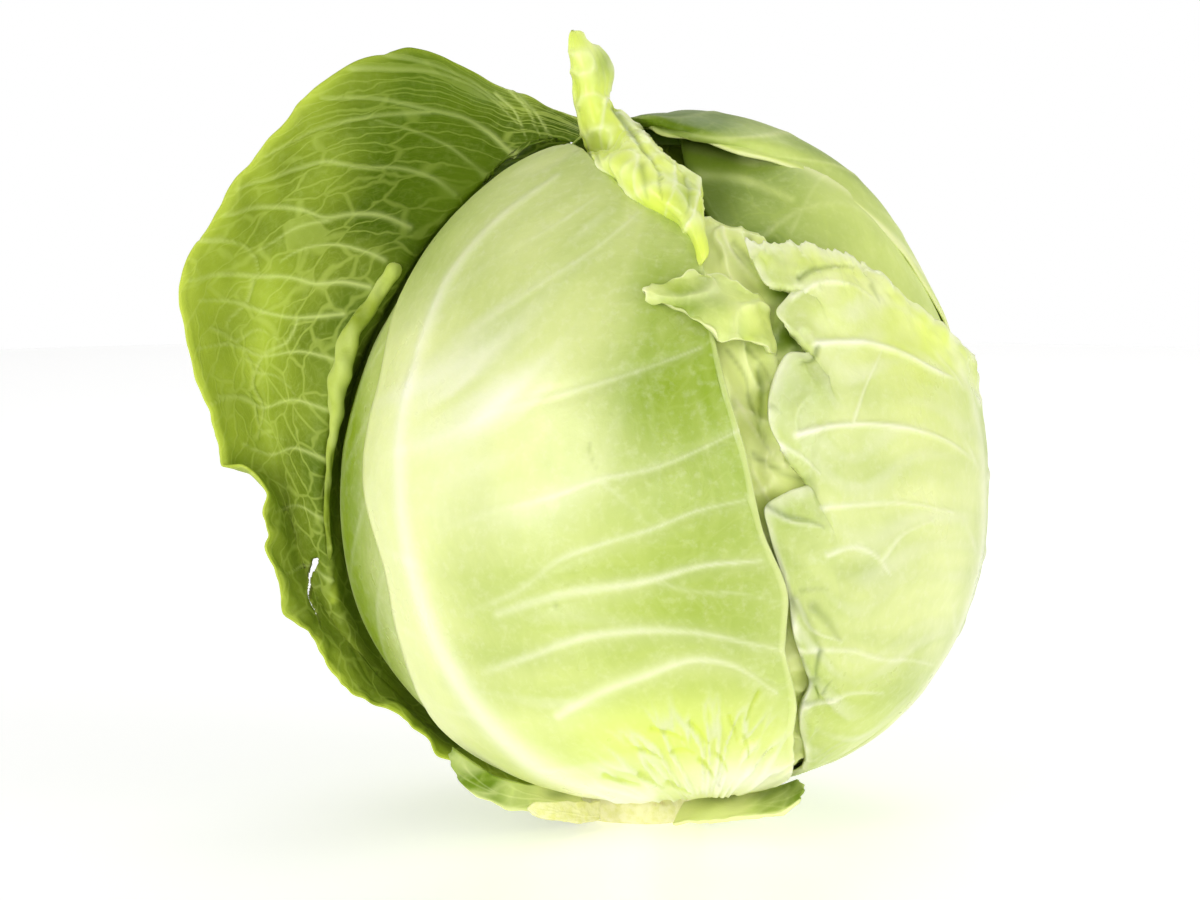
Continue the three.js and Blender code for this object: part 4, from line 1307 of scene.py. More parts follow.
# %% The finishes of this head
# White of the ribs, and also of the painted highlight on the front leaf.
RIB_AND_HIGHLIGHT_WHITE = linear(252, 252, 224)
PALE_LEAF = leaf_finish(
    "pale leaf", linear(233, 242, 164), linear(138, 164, 22), RIB_AND_HIGHLIGHT_WHITE, 0.06, linear(225, 235, 150), 0.15, 0.31, 0.55
)
GREEN_LEAF = leaf_finish(
    "green leaf", linear(212, 228, 128), linear(106, 134, 16), linear(240, 246, 176), 0.12,
    linear(196, 214, 96), 0.12, 0.40, 0.25
)
DARK_LEAF = leaf_finish(
    "dark leaf", linear(182, 200, 70), linear(70, 94, 4), linear(214, 228, 136), 0.42,
    linear(198, 214, 104), 0.08, 0.42, 0.12
)
# A paler copy of the green finish for the valley leaf: partly its own paler colour, partly painted light against the
# shade it lies in.
VALLEY_LEAF = leaf_finish(
    "valley leaf", linear(230, 241, 152), linear(112, 140, 18), linear(246, 250, 190), 0.1,
    linear(212, 226, 128), 0.15, 0.36, 0.45
)
# The heart shows only deep in the hollow and the holes; its dark green is partly its own colour and partly painted
# shade.
INNER_LEAF = leaf_finish(
    "inner leaf", linear(150, 170, 50), linear(78, 102, 12), linear(180, 198, 84), 0.2,
    linear(140, 160, 44), 0.08, 0.5, 0.25
)


# %% [markdown]
# ## The cut flesh of the stump
# Where the stump and the old leaf bases were cut, the flesh is cream, a little fibrous, and browned
# at the rim. Fine noise gives the fibres, and a coarser one the browning.

# %% Cut flesh
def cut_flesh():
    finish = Finish("cut flesh")
    at = finish.place()
    patches = finish.noise(at, 70.0, 5.0, 0.65)
    fibres = finish.noise(at, 500.0, 4.0, 0.6)
    body = finish.mix(finish.span(fibres, 0.35, 0.7), linear(246, 242, 194), linear(234, 232, 156))
    browned = finish.mix(finish.span(patches, 0.56, 0.72, 0.0, 0.75), body, linear(176, 142, 70))
    finish.set(finish.surface.inputs["Base Color"], browned)
    finish.set(finish.surface.inputs["Roughness"], finish.span(fibres, 0.3, 0.7, 0.5, 0.72))
    finish.surface.inputs["Subsurface Weight"].default_value = 0.2
    finish.surface.inputs["Subsurface Radius"].default_value = (0.003, 0.003, 0.001)
    finish.surface.inputs["Subsurface Scale"].default_value = 1.0
    finish.set(finish.surface.inputs["Normal"], finish.relief(fibres, 0.5, 0.0005))
    return finish.material


CUT_FLESH = cut_flesh()

# %% [markdown]
# ## The front leaf
# The big pale leaf across the front is the face of the cabbage. Its thick white midrib runs down the
# left side, side veins cross to the right, and its upper right margin is rolled into a twisted curl.
# The blade and the curl are two shells in one object, because the curl folds over the blade.

# %% Front leaf


def patch(pixels, x, y, wide, high):
    """A soft spot round a pixel, 1 in its middle."""
    return np.exp(-(((pixels[..., 0] - x) / wide) ** 2) - ((pixels[..., 1] - y) / high) ** 2)


def streaks_along(s, t, slant, size, seed):
    """Soft streaks that follow the side veins: long across the blade and narrow up it."""
    climb = t - slant * s
    return waves_of(np.stack([24 * s, 190 * climb, 0 * s], axis=-1), size, seed)


def fan_of_wrinkles(pixels, x, y, near, far):
    """Ridges that spread from a point, wavy and broken, between two distances from it."""
    away = np.stack([pixels[..., 0] - x, y - pixels[..., 1]], axis=-1)
    reach = np.linalg.norm(away, axis=-1)
    turn = np.arctan2(away[..., 0], away[..., 1])
    spread = np.stack([turn * 70, reach * 0.16, 0 * reach], axis=-1)
    ridge = 1 - np.abs(waves_of(spread, 9, 4) + 0.4 * waves_of(spread, 4, 9)) * 3.2
    return np.clip(ridge, 0, 1) * ramp(near * 0.6, near, reach) * ramp(far, near + 0.4 * (far - near), reach)


def front_shape(info):
    s, t, px = info["s"], info["t"], info["pixels"]
    x, y = px[..., 0], px[..., 1]
    broken = (0.6 + 0.4 * waves_of(info["rest"], 15, 58)) * (0.2 + 0.8 * ramp(440, 610, x))
    vein = np.maximum(near_lines(px, FRONT_VEINS[2:]) * broken, near_lines(px, FRONT_VEINS[:2]))
    around_vein = near_lines(px, [(4.0 * width, strength, points) for width, strength, points in FRONT_VEINS[2:]])
    around_vein = around_vein * ramp(450, 640, x)
    slant = 0.12 + 0.5 * ramp(0.4, 0.9, t)
    broad = streaks_along(s, t, slant, 17, 51)
    narrow = streaks_along(s, t, slant, 6, 52)
    swell = waves_of(info["rest"], 34, 1)
    fine = waves_of(info["rest"], 5, 2)
    lip = ramp(0.975, 0.992, s) * ramp(0.12, 0.25, t)
    fan = fan_of_wrinkles(px, 705, 815, 35, 150) * ramp(500, 590, x)
    base = patch(px, 742, 772, 56, 17)
    strokes = near_lines(px, YOUNG_STROKES)
    lift = 0.6 * swell + 0.6 * (1 - ramp(0.0, 0.5, around_vein)) * ramp(0.03, 0.12, s)
    lift += lip * (0.35 + 0.7 * waves_of(info["rest"], 12, 3)) + 1.2 * base
    rib = 1.1 * vein + 0.07 * fine + 0.75 * fan + 0.32 * broad + 0.2 * narrow - 0.7 * strokes
    green = 0.46 + 0.2 * ramp(540, 720, x) * ramp(200, 330, y) * ramp(760, 500, y)
    green += 0.22 * patch(px, 700, 400, 70, 70) + 0.2 * patch(px, 650, 275, 80, 40) + 0.1 * patch(px, 640, 620, 130, 28)
    green += 0.14 * waves_of(info["rest"], 26, 6) + 0.22 * broad + 0.10 * narrow
    green += 0.2 * patch(px, 590, 575, 90, 18) + 0.15 * patch(px, 520, 655, 70, 16) + 0.15 * patch(px, 620, 690, 90, 14)
    # Paler towards the midrib on the left; the two spots made less green left of the middle belong to the painted
    # highlight.
    green -= 0.55 * ramp(490, 400, x) * ramp(250, 400, y) + 0.4 * patch(px, 505, 430, 70, 90)
    green -= 0.2 * patch(px, 595, 460, 30, 50) + 0.3 * ramp(0.4, 0.9, around_vein)
    green -= 0.4 * base + 0.3 * ramp(660, 760, y) + 0.12 * patch(px, 520, 230, 80, 50)
    # Painted shade along the front leaf's crease lines.
    crease_and_painted_shade = 0.55 * near_lines(px, FRONT_CREASES)
    young = patch(px, 680, 735, 120, 46) * ramp(0.7, 0.1, fan) + 0.8 * strokes
    # pale is a painted highlight: a soft window highlight left of the middle, whitened with brushed streaks, then pale
    # streaks over the left part.
    brushed = streaks_along(s, t, slant, 2.6, 55)
    pale = 1.25 * patch(px, 508, 412, 75, 88) * np.clip(0.5 + 1.1 * narrow + 0.8 * broad + 0.8 * brushed, 0, 1)
    pale += 0.35 * ramp(0.35, 0.75, narrow) * ramp(0.75, 0.4, s)
    return {
        "lift": lift,
        "rib": rib - 0.5 * crease_and_painted_shade,
        "vein": np.clip(0.85 * vein + 0.25 * around_vein + 0.2 * lip + 0.9 * base + 0.4 * fan + 0.7 * pale - strokes, 0, 1),
        "green": np.clip(green + 0.5 * strokes, 0, 1),
        "crease_and_painted_shade": crease_and_painted_shade,
        "painted_glow_and_young_green": np.clip(0.65 * young + 0.2 * lip + 0.2 * patch(px, 600, 590, 120, 110), 0, 1),
    }


def curl_shape(info):
    s, t, px = info["s"], info["t"], info["pixels"]
    rims, deep = near_lines(px, CURL_RIMS), near_lines(px, CURL_CREASES)
    along = streaks_along(t, s, 0.5, 14, 53)
    crumple = 1 - np.abs(waves_of(info["rest"], 8, 54)) * 2.6
    folds = np.clip(crumple, 0, 1) ** 2
    lift = 0.7 * waves_of(info["rest"], 7, 5) * np.sin(np.pi * s)
    rib = 0.7 * rims - 1.1 * deep + 0.3 * waves_of(info["rest"], 3, 7) + 0.7 * folds + 0.3 * along
    green = 0.42 + 0.4 * patch(px, 603, 62, 14, 22) + 0.4 * patch(px, 686, 195, 10, 24) + 0.35 * patch(px, 645, 185, 8, 16)
    green += 0.25 * waves_of(info["rest"], 6, 6) + 0.2 * along - 0.2 * folds
    painted_glow_and_young_green = 0.82 - 0.6 * patch(px, 603, 62, 14, 22) - 0.5 * patch(px, 686, 195, 14, 30)
    # Painted shade in the curl's folds along its crease lines.
    return {
        "lift": lift,
        "rib": rib,
        "vein": np.clip(0.6 * rims + 0.3 * folds, 0, 1),
        "green": np.clip(green, 0, 1),
        "crease_and_painted_shade": 0.8 * deep,
        "painted_glow_and_young_green": np.clip(painted_glow_and_young_green + 0.25 * waves_of(info["rest"], 6, 8), 0, 1),
    }


FRONT_TORN = {"right": ragged(150, 0.02, (12, 4), 121, lambda at: ramp(0.08, 0.16, at) * ramp(0.42, 0.3, at) + 0.12)}
add_leaf(
    "front_leaf",
    "leaf_front",
    [blade_grid(FRONT, (160, 250), front_shape, torn=FRONT_TORN), blade_grid(CURL, (40, 150), curl_shape)],
    PALE_LEAF,
)

# %% [markdown]
# ## The right leaf
# This leaf wraps the right side. Its upper margin is thin and frilly, and its left margin is torn
# and crumpled where it meets the front leaf. The frill is a wave whose height grows to the edge.

# %% Right leaf


def right_shape(info):
    s, t, px = info["s"], info["t"], info["pixels"]
    front = ramp(0.62, 0.5, s)
    vein = np.maximum(near_lines(px, RIGHT_VEINS) * front, formula_veins(s, t, 0.62, 8, 0.4) * (1 - front))
    deep = 0.75 * near_lines(px, RIGHT_CREASES) * front
    crumple = ramp(0.24, 0.0, s) * ramp(0.05, 0.15, t)
    frill = ramp(0.9, 1.0, t)
    back = ramp(0.93, 1.0, s)
    folds = 1 - np.abs(waves_of(info["rest"] * np.array([1, 1, 0.7]), 9, 12)) * 2.6
    lift = 0.35 * waves_of(info["rest"], 30, 11) + 0.8 * crumple * waves_of(info["rest"], 11, 17)
    ruffle = 1.3 * waves_of(info["rest"], 6, 13) + 0.6 * waves_of(info["rest"], 2.6, 59)
    lift += frill * (0.7 + ruffle) + back * (0.5 + 0.9 * waves_of(info["rest"], 10, 14))
    lift += 0.9 * patch(px, 835, 300, 38, 26) - 1.2 * patch(px, 870, 572, 26, 14)
    broad = streaks_along(1 - s, t, -0.15, 15, 55)
    narrow = streaks_along(1 - s, t, -0.15, 5, 56)
    blotch = waves_of(info["rest"], 7, 57)
    upper = ramp(0.78, 0.95, t)
    rib = 1.0 * vein + 0.08 * waves_of(info["rest"], 6, 15) - 0.8 * deep + 0.8 * crumple * np.clip(folds, 0, 1) ** 2
    rib += 0.25 * broad + 0.15 * narrow + 0.4 * upper * blotch
    # The spot made greener at the small dent is painted shade, and deep marks painted shade along the crease lines.
    green = 0.24 + 0.14 * waves_of(info["rest"], 22, 16) + 0.35 * crumple + 0.3 * patch(px, 868, 572, 24, 14)
    green += 0.3 * patch(px, 860, 690, 60, 30) + 0.35 * ramp(0.5, 0.7, s) + 0.28 * broad + 0.14 * narrow + 0.3 * upper * blotch
    green += 0.25 * patch(px, 890, 470, 60, 16) + 0.2 * patch(px, 860, 392, 60, 14) + 0.2 * patch(px, 870, 640, 60, 12)
    green -= 0.2 * frill + 0.35 * ramp(0.12, 0.0, t)
    rim = ramp(0.03, 0.0, s) + ramp(0.97, 1, t)
    painted_glow_and_young_green = 0.4 * patch(px, 925, 330, 50, 110) + 0.3 * patch(px, 860, 720, 60, 40) + 0.35 * upper * np.clip(0.6 + blotch, 0, 1)
    return {
        "lift": lift,
        "rib": rib,
        "vein": np.clip(0.9 * vein + 0.4 * rim + 0.5 * np.clip(narrow, 0, 1) * front, 0, 1),
        "green": np.clip(green, 0, 1),
        "crease_and_painted_shade": deep,
        "painted_glow_and_young_green": np.clip(painted_glow_and_young_green, 0, 1),
    }


RIGHT_TORN = {"tip": ragged(200, 0.013, (7, 2.6), 93, lambda at: ramp(0.62, 0.5, at) + 0.3)}
add_leaf(
    "right_leaf",
    "leaf_right",
    [blade_grid(RIGHT, (168, 280), right_shape, dense=(0.5, 0.7), torn=RIGHT_TORN)],
    PALE_LEAF,
)

# %% [markdown]
# ## The leaves between and under them
# The valley leaf shows between the front and right leaves. It was pressed there while the head
# grew, so it is creased, and a torn flap of it lies over the front leaf's margin.

# %% Valley leaf and its flap


def valley_shape(info):
    s, t, px = info["s"], info["t"], info["pixels"]
    vein = near_lines(px, VALLEY_VEINS)
    deep = near_lines(px, VALLEY_CREASES)
    creases = 1 - np.abs(waves_of(info["rest"], 9, 21)) * 2.4
    lift = 1.0 * waves_of(info["rest"], 10, 22)
    rib = 0.7 * vein + 1.2 * np.clip(creases, 0, 1) ** 2 - 0.6 * deep
    # Painted shade: the two holes by the right leaf's margin are painted dark green. Over the rest the glow mark paints
    # light onto the shaded blade.
    holes = np.maximum(patch(px, 781, 291, 17, 14), patch(px, 789, 341, 26, 15))
    green = 0.1 + 0.45 * waves_of(info["rest"], 10, 23) - 0.15 * ramp(300, 260, px[..., 1])
    green += 0.45 * patch(px, 760, 405, 10, 40) + 0.3 * patch(px, 775, 455, 12, 16) + 1.3 * holes
    return {
        "lift": lift,
        "rib": rib,
        "vein": np.clip(0.9 * vein + 0.45 * np.clip(creases, 0, 1) ** 3, 0, 1),
        "green": np.clip(green, 0, 1),
        "crease_and_painted_shade": np.clip(0.8 * deep + 1.0 * holes, 0, 1),
        "painted_glow_and_young_green": np.clip(0.2 * (1 - holes) + 0.3 * waves_of(info["rest"], 9, 26), 0, 1),
    }


def flap_shape(info):
    s, t, px = info["s"], info["t"], info["pixels"]
    folds = 1 - np.abs(waves_of(info["rest"], 8, 24)) * 2.2
    edge = np.minimum(np.minimum(s, 1 - s), 1 - t)
    ragged = ramp(0.25, 0.0, np.minimum(s, 1 - s))
    lift = 1.1 * waves_of(info["rest"], 6, 27) + ragged * 1.2 * waves_of(info["rest"], 3.2, 28)
    rib = 1.1 * np.clip(folds, 0, 1) ** 2
    green = 0.36 + 0.7 * patch(px, 678, 299, 44, 20) + 0.5 * waves_of(info["rest"], 7, 25) + 0.5 * patch(px, 735, 332, 12, 16)
    rim = ramp(0.06, 0.0, edge)
    # Painted shade in the troughs of the folds.
    return {
        "lift": lift,
        "rib": rib,
        "vein": np.clip(0.5 * rim + 0.35 * rib + 0.25 * patch(px, 722, 294, 24, 12), 0, 1),
        "green": np.clip(green, 0, 1),
        "crease_and_painted_shade": 0.5 * np.clip(-folds - 0.6, 0, 1),
        "painted_glow_and_young_green": np.clip(0.15 + 0.3 * patch(px, 750, 320, 20, 30) + 0.3 * patch(px, 660, 294, 20, 10), 0, 1),
    }


FLAP_TORN = {"left": ragged(34, 0.17, (9, 3), 95), "right": ragged(34, 0.15, (8, 3), 97)}
add_leaf(
    "valley_leaf",
    "leaf_valley",
    [blade_grid(VALLEY, (80, 170), valley_shape), blade_grid(FLAP, (60, 90), flap_shape, torn=FLAP_TORN)],
    VALLEY_LEAF,
)

# %% [markdown]
# ## The smooth leaves over the top, the left and the back
# These leaves lie close to the head and show few features: soft swellings and a formula for ribs
# that the photograph doesn't show.

# %% Smooth leaves


def smooth_shape(seed, greenness, rise, veins=None, midrib=0.5, count=7, waved=(), fringe=0.0, marks=None):
    def shape(info):
        s, t, px = info["s"], info["t"], info["pixels"]
        vein = formula_veins(s, t, midrib, count) if veins is None else near_lines(px, veins)
        lift = 0.3 * waves_of(info["rest"], 26, seed)
        for side in waved:
            edge = {"left": s, "right": 1 - s, "tip": 1 - t}[side]
            lift = lift + ramp(0.12, 0, edge) * (fringe * (0.6 + waves_of(info["rest"], 9, seed + 1)))
        rib = rise * vein + 0.08 * waves_of(info["rest"], 8, seed + 2)
        green = greenness + 0.3 * waves_of(info["rest"], 24, seed + 3)
        made = {"lift": lift, "rib": rib, "vein": 0.8 * vein, "green": np.clip(green, 0, 1)}
        if marks is not None:
            made.update(marks(info, made))
        return made

    return shape


def upper_marks(info, made):
    """The hollow on top is painted dark as shade, and the leaf is painted greener towards it and paler to the right."""
    px = info["pixels"]
    x, y = px[..., 0], px[..., 1]
    dark = ramp(760, 715, x + 0.3 * (y - 190)) * ramp(262, 225, y)
    green = 0.12 + 0.6 * ramp(850, 760, x + 0.3 * (y - 190)) + 0.12 * waves_of(info["rest"], 9, 33)
    low = patch(px, 775, 250, 50, 18)
    edge = near_lines(px, [(56, 1.0, [(760, 160), (800, 185), (840, 208), (880, 240), (915, 290), (935, 330)])])
    pale = 0.5 * near_lines(px, [(14, 1.0, [(700, 178), (740, 182), (790, 206)]), (10, 0.7, [(690, 150), (720, 158), (756, 170)])])
    return {
        "lift": made["lift"] + 3.4 * edge * ramp(740, 800, x),
        "green": np.clip(green + 0.4 * low - pale, 0, 1),
        "crease_and_painted_shade": np.clip(0.9 * dark - 0.5 * pale, 0, 1),
        "vein": np.clip(0.5 * made["vein"] + 0.25 * pale + 0.9 * near_lines(px, TOP_RIM), 0, 1),
        "rib": made["rib"] + 0.7 * near_lines(px, TOP_RIM),
    }


def top_marks(info, made):
    """The top leaf is silvery, with a bright edge over the hollow and painted shade as a dark patch at its left end."""
    s, px = info["s"], info["pixels"]
    dark = patch(px, 672, 124, 62, 14)
    seen_part = ramp(0.35, 0.15, s)
    rim = near_lines(px, TOP_RIM) * ramp(0.5, 0.4, s) * ramp(30, 12, info["rest"][..., 1])
    return {
        "green": np.clip(made["green"] * (1 - 0.6 * seen_part) + 0.9 * dark, 0, 1),
        "crease_and_painted_shade": 0.75 * dark,
        "vein": np.clip(made["vein"] + 0.9 * ramp(0.03, 0.0, s) + 0.9 * rim, 0, 1),
        "painted_glow_and_young_green": 0.4 * ramp(0.05, 0.0, s),
    }


def left_marks(info, made):
    """Under the front leaf's left margin it is green, painted greener and darker towards the gap as shade."""
    x = info["pixels"][..., 0]
    y = info["pixels"][..., 1]
    gap = 345 + 0.3 * np.clip(y - 560, 0, 200)
    near_gap = ramp(34, 0, x - gap)
    return {
        "green": np.clip(0.62 + 0.5 * near_gap, 0, 1),
        "crease_and_painted_shade": 0.35 * near_gap * ramp(720, 640, y),
        "vein": 0.35 * made["vein"],
    }


SMOOTH_LEAVES = [
    ("upper_leaf", "leaf_right_upper", "green_leaf", GREEN_LEAF, RIGHT_UPPER, (100, 100),
     smooth_shape(31, 0.55, 0.3, veins=UPPER_VEINS, marks=upper_marks)),
    ("top_leaf", "leaf_top_back", "green_leaf", GREEN_LEAF, TOP_BACK, (104, 150),
     smooth_shape(35, 0.5, 0.55, midrib=0.55, count=9, waved=("left",), fringe=0.5, marks=top_marks)),
    ("left_leaf", "leaf_left_inner", "pale_leaf", PALE_LEAF, LEFT_INNER, (80, 120),
     smooth_shape(41, 0.5, 0.3, marks=left_marks)),
    ("back_leaf", "leaf_back", "green_leaf", GREEN_LEAF, BACK, (80, 90), smooth_shape(45, 0.4, 0.5)),
    ("dark_back_leaf", "leaf_outer_back", "dark_leaf", DARK_LEAF, OUTER_BACK, (90, 130),
     smooth_shape(51, 0.4, 0.6, waved=("right",), fringe=1.6)),
]
for name, node, slot, finish, net, size, shape in SMOOTH_LEAVES:
    add_leaf(name, node, [blade_grid(net, size, shape)], finish)

# %% [markdown]
# ## The dark outer leaf
# An old outer leaf stands away from the head on the left like a collar. Its pale veins branch into
# cells, its blade bulges between them, and its lower margin is ragged. A rolled fold of it, like a
# thin sausage with a knob on its end, lies close to the head.

# %% Dark outer leaf


# Along this line by the head the outer leaf is painted paler: painted light in the shadowed gap.
GAP_BY_THE_HEAD = [(16, 1.0, [(402, 300), (372, 350), (354, 400), (345, 460), (338, 530), (334, 600)])]


def outer_shape(info):
    s, t, px = info["s"], info["t"], info["pixels"]
    shown = ramp(0.66, 0.58, s)
    thin_veins = [(0.8 * width, strength, points) for width, strength, points in OUTER_VEINS]
    vein = np.maximum(near_lines(px, thin_veins) * shown, formula_veins(s, t, 0.62, 8) * (1 - shown))
    deep = near_lines(px, OUTER_CREASES) * shown
    low = ramp(0.5, 0.3, t)
    margin = ramp(0.14, 0.0, s) * ramp(0.03, 0.1, t)
    ragged = margin * ((1.0 + 1.5 * low) * waves_of(info["rest"], 9, 61) + 1.0 * low * waves_of(info["rest"], 3.5, 62))
    lift = 0.9 * waves_of(info["rest"], 22, 63) * ramp(0.75, 0.5, s) + ragged + 0.5 * waves_of(info["rest"], 9, 67) * shown
    lift += ramp(0.86, 1, s) * (0.8 + 1.2 * waves_of(info["rest"], 10, 64))
    bulge = 0.3 * waves_of(info["rest"], 6, 65)
    # Painted shade and light: near the head, and at the top by the head, the blade is painted greener and darker as
    # shade; on the left it is painted paler as light, and along the gap by the head paler, as light in that shadowed
    # gap.
    near_head = ramp(0.16, 0.36, s) * ramp(0.2, 0.45, t)
    x, y = px[..., 0], px[..., 1]
    green = 0.5 + 0.25 * waves_of(info["rest"], 14, 66) + 0.3 * near_head - 0.25 * margin
    green += 0.55 * ramp(320, 420, x) * ramp(280, 180, y) - 0.28 * ramp(360, 260, x) * ramp(180, 300, y) * ramp(480, 420, y)
    green -= 0.35 * patch(px, 520, 120, 30, 34)
    gap = near_lines(px, GAP_BY_THE_HEAD)
    green -= 1.2 * gap
    shade = ramp(260, 420, x) * ramp(300, 180, y) * ramp(530, 470, x)
    return {
        "lift": lift - 0.5 * vein,
        "rib": 0.5 * vein + bulge - 0.6 * deep,
        "vein": vein,
        "green": np.clip(green, 0, 1),
        "crease_and_painted_shade": np.clip(0.7 * deep + 0.3 * near_head * ramp(0.3, 0.38, s) * (1 - gap) + 0.65 * shade, 0, 1),
        "painted_glow_and_young_green": 0.35 * ramp(0.03, 0.0, s),
        "gone": np.clip(2 * near_lines(px, SLIT) - 0.5, 0, 1) * (s < 0.35),
    }


def roll_mesh():
    """The rolled fold: a bar of uneven thickness through the stations, closed at both ends."""
    steps, sides = 130, 30
    rows = np.array([np.append(place(spot[:3], np.array(spot[3])), radius) for spot, radius in ROLL])
    knots = np.append(0, np.cumsum(np.linalg.norm(np.diff(rows[:, :3], axis=0), axis=1)))
    track = smooth_through(knots / knots[-1], rows, np.linspace(0, 1, steps))
    middle, radius = track[:, :3], track[:, 3]
    ahead = np.gradient(middle, axis=0)
    ahead /= np.linalg.norm(ahead, axis=1, keepdims=True)
    side = np.cross(ahead, VIEW_BACK)
    side /= np.linalg.norm(side, axis=1, keepdims=True)
    front = np.cross(side, ahead)
    turn = np.linspace(0, 2 * np.pi, sides, endpoint=False)
    reach = np.linspace(0, 1, steps)
    ends = np.sqrt(np.clip(1 - ((reach - 0.5) * 2) ** 24, 0.02, 1))
    groove = 1 + 0.16 * np.cos(2 * turn[None, :] + 7 * reach[:, None]) + 0.12 * np.sin(31 * reach[:, None] + turn)
    groove += 0.1 * np.sin(57 * reach[:, None] - 2 * turn) + 0.35 * np.exp(-(((reach[:, None] - 0.97) / 0.025) ** 2))
    wide = (radius * ends)[:, None] * groove
    out = np.cos(turn)[None, :, None] * side[:, None, :] + np.sin(turn)[None, :, None] * front[:, None, :]
    ring = middle[:, None, :] + wide[..., None] * out
    ring = ring + 0.22 * np.clip(wide, 0, 1.5)[..., None] * waves_of(ring, 3.5, 92)[..., None] * out
    spots = np.concatenate([ring.reshape(-1, 3), middle[:1], middle[-1:]]) / 1000
    at = np.arange(steps * sides).reshape(steps, sides)
    after = np.roll(at, -1, axis=1)
    sleeve = np.stack([at[:-1], after[:-1], after[1:], at[1:]], axis=-1).reshape(-1, 4).tolist()
    foot, knob = steps * sides, steps * sides + 1
    caps = [(foot, b, a) for a, b in zip(at[0], after[0])] + [(knob, a, b) for a, b in zip(at[-1], after[-1])]
    mesh = bpy.data.meshes.new("roll")
    mesh.from_pydata(spots.tolist(), [], sleeve + [tuple(int(i) for i in cap) for cap in caps])
    streaks = waves_of(spots * np.array([1000, 1000, 400]), 2.5, 91)
    low = ramp(0.5, 0.15, np.repeat(reach, sides)) + 0.8 * np.exp(-(((np.repeat(reach, sides) - 0.79) / 0.06) ** 2))
    low = np.append(low, [1.0, 0.0])
    values = {
        "vein": 0.45 + 0.35 * streaks - 0.5 * low,
        "green": 0.1 + 0.3 * streaks + 0.5 * low,
        "crease_and_painted_shade": 0.3 * np.clip(-streaks, 0, 1),
    }
    for mark, value in values.items():
        layer = mesh.attributes.new(mark, "FLOAT", "POINT")
        layer.data.foreach_set("value", np.clip(value, 0, 1).astype(np.float32))
    mesh.polygons.foreach_set("use_smooth", [True] * len(mesh.polygons))
    mesh.materials.append(DARK_LEAF)
    return mesh


OUTER_TORN = {
    "left": ragged(230, 0.035, (9, 3), 99, lambda at: 0.12 + 0.88 * ramp(0.5, 0.42, at) * ramp(0.02, 0.08, at)),
    "tip": ragged(200, 0.006, (12, 4), 101),
}
add_leaf(
    "outer_leaf",
    "leaf_outer",
    [blade_grid(OUTER, (108, 424), outer_shape, dense=(0.42, 0.75), torn=OUTER_TORN)],
    DARK_LEAF,
)
roll = bpy.data.objects.new("outer_leaf_roll", roll_mesh())
bpy.context.collection.objects.link(roll)
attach(roll, "root")
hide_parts("leaf_outer")

# %% [markdown]
# ## The cut-off leaf bases
# When the head was trimmed, the bases of some outer leaves stayed on the stump. They are short
# blades with torn ends, spread over the surface round the foot.

# %% Stubs


def stub_shape(seed, greenness, curled=0.0, start=0.2):
    def shape(info):
        s, t, px = info["s"], info["t"], info["pixels"]
        vein = 0.4 * formula_veins(s, t, 0.5, 3, 0.5)
        torn = ramp(0.75, 1.0, t)
        outer = ramp(0.3, 0.0, s)
        folds = np.clip(1 - np.abs(waves_of(info["rest"], 7, seed + 3)) * 2.4, 0, 1)
        lift = 0.5 * waves_of(info["rest"], 7, seed) - curled * outer * (0.8 + 0.7 * waves_of(info["rest"], 9, seed + 4))
        # Towards the end under the front leaf the blade is less green and, in the vein mark below, pale cream: partly
        # its own pale colour, partly painted light in the front leaf's shade.
        green = greenness * ramp(start, start + 0.5, t) + 0.4 * waves_of(info["rest"], 6, seed + 1) - 0.3 * outer
        rib = 0.4 * vein + 0.3 * torn * waves_of(info["rest"], 2.5, seed + 2) + 0.5 * folds * ramp(0.1, 0.4, t)
        # Painted shadow: brownish shade just under the front leaf's foot, on the left and right stubs.
        painted_shadow = patch(px, 555, 794, 16, 6) + 0.7 * patch(px, 712, 797, 30, 5)
        return {
            "lift": lift,
            "rib": rib,
            "vein": np.clip(vein + 0.9 * ramp(0.25, 0.0, s) + 0.3 * folds + 1.0 * ramp(start + 0.25, start, t), 0, 1),
            "green": np.clip(green, 0, 1),
            "crease_and_painted_shade": np.clip(0.6 * painted_shadow, 0, 1),
        }

    return shape


STUB_TORN = {"left": ragged(40, 0.1, (7, 2.4), 103), "tip": ragged(12, 0.09, (5, 2), 105)}
SLICE_TORN = {"right": ragged(20, 0.12, (6, 3), 107), "left": ragged(20, 0.08, (6, 3), 109)}
add_leaf("left_stub", "stub_left", [blade_grid(STUB_LEFT, (60, 100), stub_shape(71, 0.9), torn=STUB_TORN)], GREEN_LEAF)
add_leaf("front_stub", "stub_front", [blade_grid(STUB_FRONT, (40, 60), stub_shape(75, 0.2), torn=SLICE_TORN)], CUT_FLESH)
add_leaf("right_stub", "stub_right", [blade_grid(STUB_RIGHT, (60, 110), stub_shape(79, 0.8, 0.5, 0.45), torn=STUB_TORN)], GREEN_LEAF)

# %% [markdown]
# ## The heart and the stump
# Only a little of the heart shows, in the hollow on top. It is a ball of leaves lapped in a spiral,
# so a saw-tooth round the axis gives the laps. The stump is turned on a lathe, then fluted.

# %% Heart
HEART_LAYER = -10.2
HEART_LAP = 1.4
HEART_LEAVES = 5
HEART_FLOOR = STUMP_TOP + 0.3


